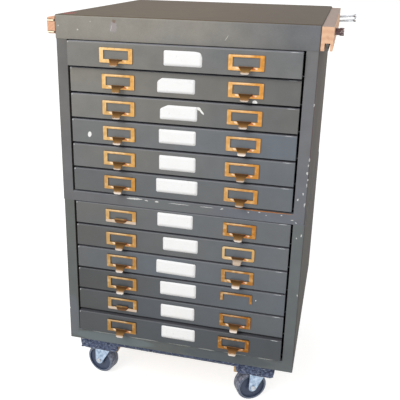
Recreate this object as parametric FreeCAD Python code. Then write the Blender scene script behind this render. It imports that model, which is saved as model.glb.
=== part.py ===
"""Steel drawer cabinet: two stacked sections of six shallow drawers on a carpeted dolly.

Millimetres. +Z is up, the drawers face -Y and +X is to the right of someone facing them.
The pieces are laid out with x = 0 on the cabinet's middle plane, y = 0 on its front face
and z = 0 on the floor. On export everything is shifted so that the origin is on the floor
under the middle of the whole object.
"""
import FreeCAD, Part
import math
import os

Vector = FreeCAD.Vector
X_AXIS = Vector(1, 0, 0)
Y_AXIS = Vector(0, 1, 0)
Z_AXIS = Vector(0, 0, 1)

# Carcass of each section, folded from steel sheet
body_width = 456.0
body_depth = 473.0
sheet = 1.5
post_width = 20.5
return_depth = 12.0
flange_width = 12.0
base_rail_heights = {"lower": 22.2, "upper": 18.7}
sideways_shifts = {"lower": 1.0, "upper": 0.0}
skin_corner_radius = 2.5
rail_edge_radius = 1.2

# Drawers, each a tray folded in one with its front
drawers_per_section = 6
front_height = 43.3
front_gap = 3.7
front_top_gap = 1.4
front_side_gap = 3.7
drawer_sheet = 1.2
front_top_radius = 2.4
front_edge_radius = 1.1
tray_wall_height = 34.0
tray_hem = 6.0
tray_rear_clearance = 22.0
tray_floor_rise = 2.4
pulled_out = {1: 9.0, 12: 6.0}

# Angle runners that carry the trays
runner_sheet = 1.5
runner_flange = 18.0
runner_bearing = 11.0
runner_front_gap = 2.0
slide_clearance = 0.3

# Label-holder pulls
pull_spacing = 226.0
pull_width = 60.0
pull_height = 26.0
pull_depth = 2.2
pull_plate = 1.0
pull_side_border = 7.3
pull_slim_border = 5.0
pull_top_border = 4.1
pull_bottom_border = 6.3
pull_corner_radius = 1.6
tongue_reach = 17.0
tongue_short_reach = 6.0
tongue_root_width = 29.0
tongue_tip_width = 14.5
tongue_drop = 9.0
tongue_bend_radius = 2.5
tongue_corner_radius = 3.0
broken_leg_length = 19.5
short_pulls = {(7, "left"), (11, "left")}
broken_pulls = {(10, "right")}
slim_pulls = {(8, "right")}

# Cap over the upper section
cap_height = 41.3
cap_overhang = 0.8
cap_radius = 3.0
cap_flange = 12.0

# Wooden rails on both sides of the cap
rail_rear_setback = 18.0
rail_edge_softening = 0.8
right_rail_width = 19.0
right_rail_height = 38.0
right_rail_rise = 0.9
groove_offset = 6.0
groove_width = 8.6
groove_depth = 12.0
steel_strip = 4.2
steel_strip_inset = 1.5
left_rail_width = 14.3
left_rail_height = 28.6
left_rail_rise = 8.0
left_rail_radius = 4.0
brass_strip = 2.3
brass_strip_depth = 12.0
brass_strip_proud = 0.6
brass_strip_low = 1.6
brass_strip_high = 21.6
wood_screw_diameter = 4.0
wood_screw_bite = 9.0
wood_screw_head = 8.0
wood_screw_head_height = 2.4
wood_screw_first = 130.0
wood_screw_pitch = 140.0
wood_screw_count = 3
wood_screw_level = 26.0

# Clearances and limits shared by several pieces
hole_clearance = 0.1
running_clearance = 0.05
face_clearance = 0.3
least_fillet = 0.2
fillet_share = 0.8

# Two pegs, bolts through the cap's right side behind the rail
peg_diameter = 5.0
peg_setback = 10.0
peg_low_level = 9.2
peg_spacing = 9.6
peg_straight = 4.2
peg_bent_length = 40.0
peg_bend = 5.0
peg_head_diameter = 9.0
peg_head_cone = 4.0
peg_head_disc = 2.6
peg_nut_width = 8.0
peg_nut_height = 4.0
peg_tail = 3.0

# Fluted knob on a stud through the right rail
knob_setback = 70.0
knob_level = 25.2
stud_diameter = 6.0
stud_head_diameter = 11.0
stud_head_height = 4.0
stud_engagement = 9.0
knob_neck_diameter = 11.6
knob_neck_length = 7.4
knob_grip_diameter = 13.4
knob_grip_length = 7.0
knob_flutes = 8
knob_flute_diameter = 2.8
knob_bore_extra = 1.0

# Bolts that hold the two sections together
section_bolt_diameter = 6.0
section_bolt_head = 10.0
section_bolt_head_height = 4.0
section_bolt_tail = 2.0
section_bolt_inset = 7.8
section_bolt_setback = 60.0

# Dolly: a board on two battens, covered with carpet
dolly_width = 408.0
dolly_depth = 406.0
dolly_offset = -12.0
dolly_setback = 27.0
deck_thickness = 19.0
batten_thickness = 19.0
batten_width = 76.0
carpet = 4.0
carpet_fold = 25.0
carpet_fold_gap = 6.0
carpet_flap_inset = 6.0
deck_screw_diameter = 4.0
deck_screw_length = 32.0
deck_screw_head = 8.0
deck_screw_head_height = 2.4
deck_screw_count = 3
deck_screw_margin = 45.0
edge_screw_diameter = 3.5
edge_screw_length = 20.0
edge_screw_head = 7.0
edge_screw_head_height = 1.6
edge_screw_level = 8.0
edge_screw_inset = 27.0

# Swivel casters
wheel_diameter = 63.5
wheel_width = 27.0
wheel_shoulder = 4.0
wheel_rim = 6.0
wheel_recess = 3.0
hub_diameter = 22.0
hub_width = 30.4
axle_diameter = 8.0
axle_head_diameter = 10.5
axle_head_height = 2.2
fork_sheet = 2.5
fork_trail = 16.0
fork_front = 17.0
fork_rear = 24.0
fork_foot_radius = 8.5
crown_clearance = 5.7
crown_diameter = 44.0
race_height = 5.5
race_top_diameter = 46.0
race_bottom_diameter = 40.0
kingpin_diameter = 10.0
kingpin_head_diameter = 17.0
kingpin_head_height = 2.6
plate_length = 72.0
plate_width = 62.0
plate_thickness = 2.5
plate_corner_radius = 6.0
plate_inset = 2.0
plate_screw_margin = 8.5
plate_screw_diameter = 5.0
plate_screw_head = 9.5
plate_screw_head_height = 2.4
plate_screw_length = 16.0
caster_turn = {
    "front_left": -14.0,
    "front_right": 29.0,
    "rear_left": 40.0,
    "rear_right": -25.0,
}
caster_offset = {
    "front_left": Vector(3.5, 2.0, 0),
    "front_right": Vector(5.5, 8.0, 0),
    "rear_left": Vector(-1.5, -3.0, 0),
    "rear_right": Vector(2.5, -1.0, 0),
}

# Sizes that follow from those above
half_body = body_width / 2
skin_inside = half_body - sheet
opening_half = half_body - post_width
front_half = opening_half - front_side_gap
tray_half = front_half - drawer_sheet
drawer_pitch = front_height + front_gap
section_heights = {section: rail + drawers_per_section * drawer_pitch + front_top_gap
                   for section, rail in base_rail_heights.items()}
cap_half = half_body + cap_overhang
right_rail_face = cap_half + right_rail_width
tray_length = body_depth - tray_rear_clearance
runner_top = tray_floor_rise - slide_clearance
rail_length = body_depth - rail_rear_setback

caster_height = (wheel_diameter + crown_clearance + fork_sheet + face_clearance
                 + race_height + plate_thickness)
deck_bottom = caster_height + batten_thickness
deck_top = deck_bottom + deck_thickness
cabinet_floor = deck_top + carpet
seam_level = cabinet_floor + section_heights["lower"]
cap_level = seam_level + section_heights["upper"]
section_floors = {"lower": cabinet_floor, "upper": seam_level}

board_half_width = dolly_width / 2 - carpet
board_front = dolly_setback + carpet
board_rear = dolly_setback + dolly_depth - carpet
batten_middle = board_half_width - batten_width / 2

peg_reach = (cap_half + peg_straight + peg_nut_height
             + (peg_bent_length + peg_head_cone + peg_head_disc) * math.cos(math.radians(peg_bend))
             + peg_head_diameter / 2 * math.sin(math.radians(peg_bend)))
right_end = peg_reach
left_end = -(cap_half + left_rail_width + brass_strip_proud)
front_end = -(max(pulled_out.values()) + tongue_reach)
rear_end = body_depth + cap_overhang
origin_shift = Vector(-(left_end + right_end) / 2, -(front_end + rear_end) / 2, 0)


def block(x0, x1, y0, y1, z0, z1):
    """Box between two corners."""
    return Part.makeBox(x1 - x0, y1 - y0, z1 - z0, Vector(x0, y0, z0))


def rod(diameter, length, start, axis):
    """Cylinder from a point along an axis."""
    return Part.makeCylinder(diameter / 2, length, start, axis)


def fused(shapes):
    """One solid from overlapping or touching shapes, without inner seams."""
    return shapes[0].fuse(shapes[1:]).removeSplitter()


def softened(shape, radius, wanted):
    """Fillets the edges whose middle point passes the test."""
    edges = [edge for edge in shape.Edges if wanted(edge.CenterOfMass)]
    return shape.makeFillet(radius, edges)


def near(value, target):
    """True when two positions are the same to a hundredth."""
    return abs(value - target) < 0.01


def mirrored(shape):
    """The same shape on the other side of the cabinet's middle plane."""
    return shape.mirror(Vector(0, 0, 0), X_AXIS)


def hexagon(width, height, start, axis):
    """Hexagonal prism, as wide over its flats as a spanner's jaw."""
    corner = width / math.sqrt(3)
    points = [Vector(corner * math.cos(math.radians(60 * i)),
                     corner * math.sin(math.radians(60 * i)), 0) for i in range(7)]
    prism = Part.Face(Part.makePolygon(points)).extrude(Vector(0, 0, height))
    prism.Placement = FreeCAD.Placement(start, FreeCAD.Rotation(Z_AXIS, axis))
    return prism


def screw(start, aim, diameter, length, head, head_height):
    """Screw with its shank along the aim and its head behind the starting point."""
    return fused([rod(diameter, length, start, aim),
                  rod(head, head_height, start - aim * head_height, aim)])


def export(name, solids):
    """Writes one node, shifted to the origin of the whole object."""
    shape = solids[0] if len(solids) == 1 else Part.makeCompound(solids)
    shape = shape.copy()
    shape.translate(origin_shift)
    shape.exportStep(os.path.join("parts", name + ".step"))


# Carcass

def section_bolt_places():
    """Where the bolts cross the seam between the sections."""
    across = skin_inside - section_bolt_inset
    return [Vector(side * across, y, seam_level)
            for side in (-1, 1)
            for y in (section_bolt_setback, body_depth - section_bolt_setback)]


def section_bolt_bores():
    """Clearance bores through the upper base and the lower top flanges."""
    return [rod(section_bolt_diameter + hole_clearance, 2 * sheet,
                place - Vector(0, 0, sheet), Z_AXIS)
            for place in section_bolt_places()]


def side_panel(section):
    """Right-hand side: skin, front post with its return, rear and top flanges."""
    bottom = section_floors[section]
    top = bottom + section_heights[section]
    flange_inside = skin_inside - flange_width
    rear = body_depth - sheet
    panel = fused([
        block(skin_inside, half_body, 0, body_depth, bottom, top),
        block(opening_half, half_body, 0, sheet, bottom, top),
        block(opening_half, opening_half + sheet, 0, return_depth, bottom + sheet, top),
        block(flange_inside, half_body, rear - sheet, rear, bottom + sheet, top),
        block(flange_inside, half_body, sheet, rear, top - sheet, top),
    ])
    return softened(panel, skin_corner_radius,
                    lambda p: near(p.x, half_body) and near(p.y, 0))


def base_pan(section):
    """Bottom sheet folded up into the front rail and three flanges."""
    inner_rear = body_depth - 2 * sheet
    bottom = section_floors[section]
    rail_top = bottom + base_rail_heights[section]
    pan = fused([
        block(-skin_inside, skin_inside, sheet, body_depth - sheet, bottom, bottom + sheet),
        block(-opening_half, opening_half, 0, sheet, bottom, rail_top),
        block(-opening_half, opening_half, 0, return_depth, rail_top - sheet, rail_top),
        block(-skin_inside, skin_inside, inner_rear - sheet, inner_rear, bottom, rail_top),
        block(skin_inside - sheet, skin_inside, return_depth + runner_front_gap, inner_rear,
              bottom, rail_top),
        block(-skin_inside, sheet - skin_inside, return_depth + runner_front_gap, inner_rear,
              bottom, rail_top),
    ])
    return softened(pan, rail_edge_radius, lambda p: near(p.y, 0) and near(p.z, rail_top))


def back_panel(section):
    """Flat sheet that closes the rear between the side skins."""
    bottom = section_floors[section]
    return block(-skin_inside, skin_inside, body_depth - sheet, body_depth,
                 bottom, bottom + section_heights[section])


def slot_bottom(section, slot):
    """Lower edge of a drawer front, counting slots up from the base rail."""
    rail_top = section_floors[section] + base_rail_heights[section]
    return rail_top + front_gap + slot * drawer_pitch


def angle_runner(section, slot):
    """Right-hand runner: a shelf under the tray, folded up against the skin."""
    shelf_top = slot_bottom(section, slot) + runner_top
    front = return_depth + runner_front_gap
    rear = body_depth - 2 * sheet
    return fused([
        block(tray_half - runner_bearing, skin_inside, front, rear,
              shelf_top - runner_sheet, shelf_top),
        block(skin_inside - runner_sheet, skin_inside, front, rear,
              shelf_top - runner_sheet, shelf_top + runner_flange),
    ])


def build_section(section):
    """Exports one section's carcass, moved sideways by its shift."""
    right = side_panel(section)
    right_runners = [angle_runner(section, slot) for slot in range(drawers_per_section)]
    pieces = {
        "side_right": [right],
        "side_left": [mirrored(right)],
        "base": [base_pan(section)],
        "back": [back_panel(section)],
        "runners": right_runners + [mirrored(runner) for runner in right_runners],
    }
    bores = section_bolt_bores()
    for piece, solids in pieces.items():
        for solid in solids:
            solid.translate(Vector(sideways_shifts[section], 0, 0))
        export(section + "_" + piece, [solid.cut(bores) for solid in solids])


def build_section_bolts():
    """Exports the bolts and nuts that join the upper base to the lower top flanges."""
    solids = []
    for place in section_bolt_places():
        over = place + Vector(0, 0, sheet)
        nut_under = place - Vector(0, 0, sheet + section_bolt_head_height)
        length = over.z - nut_under.z + section_bolt_tail
        shank = rod(section_bolt_diameter, length, over, -Z_AXIS)
        head = hexagon(section_bolt_head, section_bolt_head_height, over, Z_AXIS)
        nut = hexagon(section_bolt_head, section_bolt_head_height, nut_under, Z_AXIS)
        bore = rod(section_bolt_diameter + hole_clearance, section_bolt_head_height,
                   nut_under, Z_AXIS)
        solids += [fused([shank, head]), nut.cut(bore)]
    export("section_bolts", solids)


# Drawers and pulls

def drawer_frame(number):
    """Sideways shift, front plane and lower edge of a drawer, numbered from the top."""
    row = drawers_per_section - 1 - (number - 1) % drawers_per_section
    section = "upper" if number <= drawers_per_section else "lower"
    return sideways_shifts[section], -pulled_out.get(number, 0.0), slot_bottom(section, row)


def tray(number):
    """Drawer: front with folded returns, and the tray behind it with hemmed walls."""
    shift, front, low = drawer_frame(number)
    high = low + front_height
    floor = low + tray_floor_rise
    wall_top = floor + tray_wall_height
    wall = tray_half - drawer_sheet
    rear = front + tray_length
    behind = front + drawer_sheet
    face = block(-front_half, front_half, front, front + return_depth, low, high)
    face = softened(face, front_top_radius, lambda p: near(p.y, front) and near(p.z, high))
    face = softened(face, front_edge_radius,
                    lambda p: near(p.y, front) and (near(abs(p.x), front_half) or near(p.z, low)))
    face = face.cut(block(-tray_half, tray_half, behind, front + return_depth,
                          low + drawer_sheet, high - drawer_sheet))
    hem_low = wall_top - drawer_sheet
    hem_front = front + return_depth
    parts = [
        face,
        block(-tray_half, tray_half, behind, rear, floor, floor + drawer_sheet),
        block(-tray_half, -wall, behind, rear, floor, wall_top),
        block(wall, tray_half, behind, rear, floor, wall_top),
        block(-tray_half, tray_half, rear - drawer_sheet, rear, floor, wall_top),
        block(-tray_half, tray_hem - tray_half, hem_front, rear, hem_low, wall_top),
        block(tray_half - tray_hem, tray_half, hem_front, rear, hem_low, wall_top),
    ]
    solid = fused(parts)
    solid.translate(Vector(shift, 0, 0))
    return solid


def tongue_plan(low, high):
    """Flared outline of a tongue seen from above, as a prism between two levels."""
    wide = tongue_root_width / 2
    narrow = min(tongue_tip_width, tongue_root_width) / 2
    flare = wide - narrow
    root = pull_plate - pull_depth
    start = -pull_depth
    tip = start - flare - tongue_reach
    middle_x = wide - flare * math.sqrt(0.5)
    middle_y = start - flare * (1 - math.sqrt(0.5))

    def corner(x, y):
        return Vector(x, y, low)

    plan = Part.Wire([
        Part.LineSegment(corner(-wide, root), corner(wide, root)).toShape(),
        Part.LineSegment(corner(wide, root), corner(wide, start)).toShape(),
        Part.Arc(corner(wide, start), corner(middle_x, middle_y),
                 corner(narrow, start - flare)).toShape(),
        Part.LineSegment(corner(narrow, start - flare), corner(narrow, tip)).toShape(),
        Part.LineSegment(corner(narrow, tip), corner(-narrow, tip)).toShape(),
        Part.LineSegment(corner(-narrow, tip), corner(-narrow, start - flare)).toShape(),
        Part.Arc(corner(-narrow, start - flare), corner(-middle_x, middle_y),
                 corner(-wide, start)).toShape(),
        Part.LineSegment(corner(-wide, start), corner(-wide, root)).toShape(),
    ])
    return Part.Face(plan).extrude(Vector(0, 0, high - low))


def tongue_stub(window_floor):
    """What is left of a broken tongue: the first part of its shelf."""
    half = tongue_root_width / 2
    under = window_floor - pull_plate
    shelf = block(-half, half, -tongue_short_reach, pull_plate - pull_depth, under, window_floor)
    return shelf.common(tongue_plan(under, window_floor)).Solids[0]


def tongue(window_floor):
    """Finger tongue: a flared shelf that bends down into a lip."""
    over = window_floor
    under = over - pull_plate
    root = pull_plate - pull_depth
    tip = -tongue_reach
    bend = tongue_bend_radius
    inner = bend - pull_plate
    turn = tip + bend
    low = over - tongue_drop
    diagonal = math.sqrt(0.5)

    def point(y, z):
        return Vector(-tongue_root_width / 2, y, z)

    outline = Part.Wire([
        Part.LineSegment(point(root, over), point(turn, over)).toShape(),
        Part.Arc(point(turn, over), point(turn - bend * diagonal, over - bend * (1 - diagonal)),
                 point(tip, over - bend)).toShape(),
        Part.LineSegment(point(tip, over - bend), point(tip, low)).toShape(),
        Part.LineSegment(point(tip, low), point(tip + pull_plate, low)).toShape(),
        Part.LineSegment(point(tip + pull_plate, low),
                         point(tip + pull_plate, over - bend)).toShape(),
        Part.Arc(point(tip + pull_plate, over - bend),
                 point(turn - inner * diagonal, over - bend + inner * diagonal),
                 point(turn, under)).toShape(),
        Part.LineSegment(point(turn, under), point(root, under)).toShape(),
        Part.LineSegment(point(root, under), point(root, over)).toShape(),
    ])
    strip = Part.Face(outline).extrude(Vector(tongue_root_width, 0, 0))
    shaped = strip.common(tongue_plan(low - pull_plate, over)).Solids[0]
    narrow = min(tongue_tip_width, tongue_root_width) / 2
    return softened(shaped, min(tongue_corner_radius, fillet_share * narrow),
                    lambda p: near(p.z, low) and near(abs(p.x), narrow))


def pull(number, hand):
    """Label holder stamped from brass sheet, with its finger tongue."""
    shift, front, low = drawer_frame(number)
    half = pull_width / 2
    top = pull_height / 2
    slim = (number, hand) in slim_pulls
    broken = (number, hand) in broken_pulls
    border = pull_slim_border if slim or broken else pull_side_border
    window_floor = pull_bottom_border - top
    plate = block(-half, half, -pull_depth, 0, -top, top)
    plate = softened(plate, pull_corner_radius,
                     lambda p: near(abs(p.x), half) and near(abs(p.z), top))
    pocket = block(pull_plate - half, half - pull_plate, pull_plate - pull_depth, 0,
                   pull_plate - top, top + pull_plate)
    window = block(border - half, half - border, -pull_depth, 0,
                   window_floor, top - pull_top_border)
    solid = plate.cut(pocket).cut(window)
    if broken:
        solid = solid.cut(block(-half, half, -pull_depth, 0, -top, top - broken_leg_length))
    elif (number, hand) in short_pulls:
        solid = fused([solid, tongue_stub(window_floor)])
    else:
        solid = fused([solid, tongue(window_floor)])
    side = -1 if hand == "left" else 1
    solid.translate(Vector(shift + side * pull_spacing / 2, front, low + front_height / 2))
    return solid


# Cap, rails, pegs and knob

def cap():
    """Top cover: a pan turned upside down, with a flange folded in along its lower edge."""
    top = cap_level + cap_height
    rear = body_depth + cap_overhang
    shell = block(-cap_half, cap_half, -cap_overhang, rear, cap_level, top)
    shell = softened(shell, cap_radius, lambda p: p.z > cap_level + cap_height / 4)
    inner_radius = max(cap_radius - sheet, least_fillet)
    hollow = block(sheet - cap_half, cap_half - sheet, sheet - cap_overhang, rear - sheet,
                   cap_level + sheet, top - sheet)
    hollow = softened(hollow, inner_radius, lambda p: p.z > cap_level + cap_height / 4)
    mouth = block(cap_flange - cap_half, cap_half - cap_flange, cap_flange - cap_overhang,
                  rear - cap_flange, cap_level, cap_level + sheet)
    return shell.cut(hollow).cut(mouth)


def wood_screws(level, extra=0.0):
    """Screws from inside the cap's right wall into its rail, or their wider bores."""
    return [screw(Vector(cap_half - sheet, wood_screw_first + i * wood_screw_pitch, level),
                  X_AXIS, wood_screw_diameter + extra, sheet + wood_screw_bite,
                  wood_screw_head + extra, wood_screw_head_height)
            for i in range(wood_screw_count)]


def peg(level):
    """Bolt with a flared head, bent a little upwards outside its nut."""
    y = body_depth - peg_setback
    inside = Vector(cap_half - sheet - peg_nut_height - peg_tail, y, level)
    elbow = Vector(cap_half + peg_nut_height + peg_straight, y, level)
    shank = rod(peg_diameter, elbow.x - inside.x, inside, X_AXIS)
    knee = Part.makeSphere(peg_diameter / 2, elbow)
    angle = math.radians(peg_bend)
    aim = Vector(math.cos(angle), 0, math.sin(angle))
    outer = rod(peg_diameter, peg_bent_length, elbow, aim)
    flare = Part.makeCone(peg_diameter / 2, peg_head_diameter / 2, peg_head_cone,
                          elbow + aim * peg_bent_length, aim)
    disc = rod(peg_head_diameter, peg_head_disc,
               elbow + aim * (peg_bent_length + peg_head_cone), aim)
    return fused([shank, knee, outer, flare, disc])


def peg_nut(level, start):
    """Nut on a peg, against one face of the cap's wall."""
    place = Vector(start, body_depth - peg_setback, level)
    bore = rod(peg_diameter + hole_clearance, peg_nut_height, place, X_AXIS)
    return hexagon(peg_nut_width, peg_nut_height, place, X_AXIS).cut(bore)


def right_rail(bores):
    """Wooden rail with a groove along its underside."""
    low = cap_level + right_rail_rise
    high = low + right_rail_height
    rail = block(cap_half, right_rail_face, 0, rail_length, low, high)
    rail = softened(rail, rail_edge_softening,
                    lambda p: near(p.x, right_rail_face) and (near(p.z, low) or near(p.z, high)))
    groove = block(cap_half + groove_offset, cap_half + groove_offset + groove_width,
                   0, rail_length, low, low + groove_depth)
    return rail.cut(groove).cut(bores)


def right_strip():
    """Steel strip that stands in the right rail's groove."""
    low = cap_level + right_rail_rise
    middle = cap_half + groove_offset + groove_width / 2
    return block(middle - steel_strip / 2, middle + steel_strip / 2, steel_strip_inset,
                 rail_length - steel_strip_inset, low, low + groove_depth)


def left_strips():
    """Two brass strips let into the left rail, standing a little proud of it."""
    low = cap_level + left_rail_rise
    face = -(cap_half + left_rail_width)
    return [block(face - brass_strip_proud, face + brass_strip_depth, 0, rail_length,
                  low + start, low + start + brass_strip)
            for start in (brass_strip_low, brass_strip_high)]


def left_rail(bores):
    """Narrower wooden rail with rounded outer edges and two grooves."""
    low = cap_level + left_rail_rise
    high = low + left_rail_height
    face = -(cap_half + left_rail_width)
    rail = block(face, -cap_half, 0, rail_length, low, high)
    rail = softened(rail, left_rail_radius,
                    lambda p: near(p.x, face) and (near(p.z, low) or near(p.z, high)))
    return rail.cut(left_strips()).cut(bores)


def stud_axis_point(x):
    """Point on the knob's axis."""
    return Vector(x, knob_setback, cap_level + knob_level)


def knob():
    """Moulded knob with a fluted grip, bored for its stud."""
    start = right_rail_face + face_clearance
    neck = rod(knob_neck_diameter, knob_neck_length, stud_axis_point(start), X_AXIS)
    grip = rod(knob_grip_diameter, knob_grip_length,
               stud_axis_point(start + knob_neck_length), X_AXIS)
    body = fused([neck, grip])
    for i in range(knob_flutes):
        angle = 2 * math.pi * i / knob_flutes
        offset = Vector(0, math.cos(angle), math.sin(angle)) * (knob_grip_diameter / 2)
        body = body.cut(rod(knob_flute_diameter, knob_grip_length,
                            stud_axis_point(start + knob_neck_length) + offset, X_AXIS))
    bore = rod(stud_diameter + 2 * running_clearance, stud_engagement + knob_bore_extra,
               stud_axis_point(start), X_AXIS)
    return body.cut(bore)


def knob_stud():
    """Stud through the cap's wall and the right rail, with a head inside the cap."""
    inside = cap_half - sheet
    end = right_rail_face + face_clearance + stud_engagement
    return screw(stud_axis_point(inside), X_AXIS, stud_diameter, end - inside,
                 stud_head_diameter, stud_head_height)


def build_top():
    """Exports the cap with its rails, strips, screws, pegs and knob."""
    inside = cap_half - sheet
    right_level = cap_level + wood_screw_level
    left_level = cap_level + left_rail_rise + left_rail_height / 2
    right_bores = wood_screws(right_level, hole_clearance)
    left_bores = [mirrored(bore) for bore in wood_screws(left_level, hole_clearance)]
    right_bores.append(rod(stud_diameter + hole_clearance, sheet + right_rail_width,
                           stud_axis_point(inside), X_AXIS))
    peg_levels = [cap_level + peg_low_level, cap_level + peg_low_level + peg_spacing]
    peg_bores = [rod(peg_diameter + hole_clearance, sheet,
                     Vector(inside, body_depth - peg_setback, level), X_AXIS)
                 for level in peg_levels]
    export("top_cap", [cap().cut(right_bores + left_bores + peg_bores)])
    export("rail_right", [right_rail(right_bores)])
    export("rail_right_strip", [right_strip()])
    export("rail_left", [left_rail(left_bores)])
    export("rail_left_strips", left_strips())
    export("rail_screws", wood_screws(right_level)
           + [mirrored(solid) for solid in wood_screws(left_level)] + [knob_stud()])
    pegs = []
    for level in peg_levels:
        pegs += [peg(level), peg_nut(level, cap_half), peg_nut(level, inside - peg_nut_height)]
    export("peg_bolts", pegs)
    export("knob", [knob()])


# Dolly

def deck_screws(extra=0.0):
    """Screws sunk in the deck and driven into both battens, or their wider bores."""
    step = (board_rear - board_front - 2 * deck_screw_margin) / (deck_screw_count - 1)
    return [screw(Vector(dolly_offset + side * batten_middle,
                         board_front + deck_screw_margin + i * step,
                         deck_top - deck_screw_head_height),
                  -Z_AXIS, deck_screw_diameter + extra, deck_screw_length,
                  deck_screw_head + extra, deck_screw_head_height)
            for side in (-1, 1) for i in range(deck_screw_count)]


def edge_screws(extra=0.0):
    """Screws through the carpet into the deck's front and rear edges, or wider bores."""
    level = deck_bottom + edge_screw_level
    reach = dolly_width / 2 - edge_screw_inset
    return [screw(Vector(dolly_offset + side * reach, edge, level), aim,
                  edge_screw_diameter + extra, edge_screw_length,
                  edge_screw_head + extra, edge_screw_head_height)
            for edge, aim in ((dolly_setback, Y_AXIS), (dolly_setback + dolly_depth, -Y_AXIS))
            for side in (-1, 1)]


def battens():
    """Two boards under the deck, front to back, that the casters are screwed to."""
    boards = []
    for side in (-1, 1):
        middle = dolly_offset + side * batten_middle
        boards.append(block(middle - batten_width / 2, middle + batten_width / 2,
                            board_front, board_rear, caster_height, deck_bottom))
    return boards


def carpet_cover():
    """Carpet over the deck, down its sides and under its front and rear edges."""
    half = dolly_width / 2
    front = dolly_setback
    rear = dolly_setback + dolly_depth
    flap_end = board_half_width - batten_width + carpet_flap_inset
    fold_end = board_half_width - batten_width - carpet_fold_gap
    cover = block(-half, half, front, rear, caster_height, cabinet_floor)
    cover = cover.cut(block(-board_half_width, board_half_width, board_front, board_rear,
                            caster_height, deck_top))
    cover = cover.cut(block(-flap_end, flap_end, front, rear, caster_height,
                            deck_bottom - carpet))
    folds = [block(-fold_end, fold_end, board_front, board_front + carpet_fold,
                   deck_bottom - carpet, deck_bottom),
             block(-fold_end, fold_end, board_rear - carpet_fold, board_rear,
                   deck_bottom - carpet, deck_bottom)]
    cover = fused([cover] + folds)
    cover.translate(Vector(dolly_offset, 0, 0))
    return cover


def caster_places():
    """Name and place of each caster's swivel axis on the floor plane, as screwed on by hand."""
    along = plate_length / 2 + plate_inset
    rows = {"front": board_front + along, "rear": board_rear - along}
    sides = {"left": dolly_offset - batten_middle, "right": dolly_offset + batten_middle}
    return {row + "_" + side: Vector(x, y, 0) + caster_offset[row + "_" + side]
            for row, y in rows.items() for side, x in sides.items()}


def plate_screws(extra=0.0):
    """Screws up through each caster's plate into its batten, or their wider bores."""
    across = plate_width / 2 - plate_screw_margin
    along = plate_length / 2 - plate_screw_margin
    under = caster_height - plate_thickness
    return [screw(place + Vector(side * across, end * along, under), Z_AXIS,
                  plate_screw_diameter + extra, plate_screw_length,
                  plate_screw_head + extra, plate_screw_head_height)
            for place in caster_places().values() for side in (-1, 1) for end in (-1, 1)]


def build_dolly():
    """Exports the deck, battens, carpet and their screws."""
    deck = block(dolly_offset - board_half_width, dolly_offset + board_half_width,
                 board_front, board_rear, deck_bottom, deck_top)
    deck_bores = deck_screws(hole_clearance)
    edge_bores = edge_screws(hole_clearance)
    plate_bores = plate_screws(hole_clearance)
    export("dolly_deck", [deck.cut(deck_bores + edge_bores)])
    export("dolly_battens", [board.cut(deck_bores + plate_bores) for board in battens()])
    export("dolly_carpet", [carpet_cover().cut(edge_bores)])
    export("dolly_screws", deck_screws() + edge_screws() + plate_screws())


# Casters

def caster_plate(place):
    """Top plate with its pressed race and the kingpin riveted under the fork."""
    under = caster_height - plate_thickness
    plate = block(-plate_width / 2, plate_width / 2, -plate_length / 2, plate_length / 2,
                  under, caster_height)
    plate = softened(plate, plate_corner_radius,
                     lambda p: near(abs(p.x), plate_width / 2) and near(abs(p.y), plate_length / 2))
    race = Part.makeCone(race_bottom_diameter / 2, race_top_diameter / 2, race_height,
                         Vector(0, 0, under - race_height), Z_AXIS)
    crown_under = under - race_height - face_clearance - fork_sheet
    head_top = crown_under - face_clearance
    pin = rod(kingpin_diameter, under - head_top, Vector(0, 0, head_top), Z_AXIS)
    head = rod(kingpin_head_diameter, kingpin_head_height,
               Vector(0, 0, head_top - kingpin_head_height), Z_AXIS)
    solid = fused([plate, race, pin, head])
    solid.translate(place)
    return solid


def fork_leg(inside):
    """One leg of the fork, cut to a narrow foot round the axle."""
    crown_top = caster_height - plate_thickness - race_height - face_clearance
    axle_height = wheel_diameter / 2
    foot = fork_foot_radius
    slope = math.atan2(crown_top - axle_height, fork_front + fork_trail)
    lean = slope - math.pi / 2
    x_front = -fork_trail + foot * math.cos(lean)
    z_front = axle_height + foot * math.sin(lean)

    def point(x, z):
        return Vector(x, inside, z)

    outline = Part.Wire([
        Part.LineSegment(point(-fork_rear, crown_top), point(fork_front, crown_top)).toShape(),
        Part.LineSegment(point(fork_front, crown_top), point(x_front, z_front)).toShape(),
        Part.Arc(point(x_front, z_front), point(-fork_trail, axle_height - foot),
                 point(-fork_trail - foot, axle_height)).toShape(),
        Part.LineSegment(point(-fork_trail - foot, axle_height),
                         point(-fork_rear, crown_top)).toShape(),
    ])
    return Part.Face(outline).extrude(Vector(0, fork_sheet, 0))


def fork():
    """Swivelling fork: a crown on the kingpin and two legs down to the axle."""
    crown_top = caster_height - plate_thickness - race_height - face_clearance
    inside = hub_width / 2 + face_clearance
    outside = inside + fork_sheet
    crown = fused([
        block(-fork_rear, fork_front, -outside, outside, crown_top - fork_sheet, crown_top),
        rod(crown_diameter, fork_sheet, Vector(0, 0, crown_top - fork_sheet), Z_AXIS),
    ])
    body = fused([crown, fork_leg(inside), fork_leg(-outside)])
    pin_bore = rod(kingpin_diameter + 2 * running_clearance, fork_sheet,
                   Vector(0, 0, crown_top - fork_sheet), Z_AXIS)
    axle_bore = rod(axle_diameter + hole_clearance, 2 * outside,
                    Vector(-fork_trail, -outside, wheel_diameter / 2), Y_AXIS)
    return body.cut([pin_bore, axle_bore])


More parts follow.
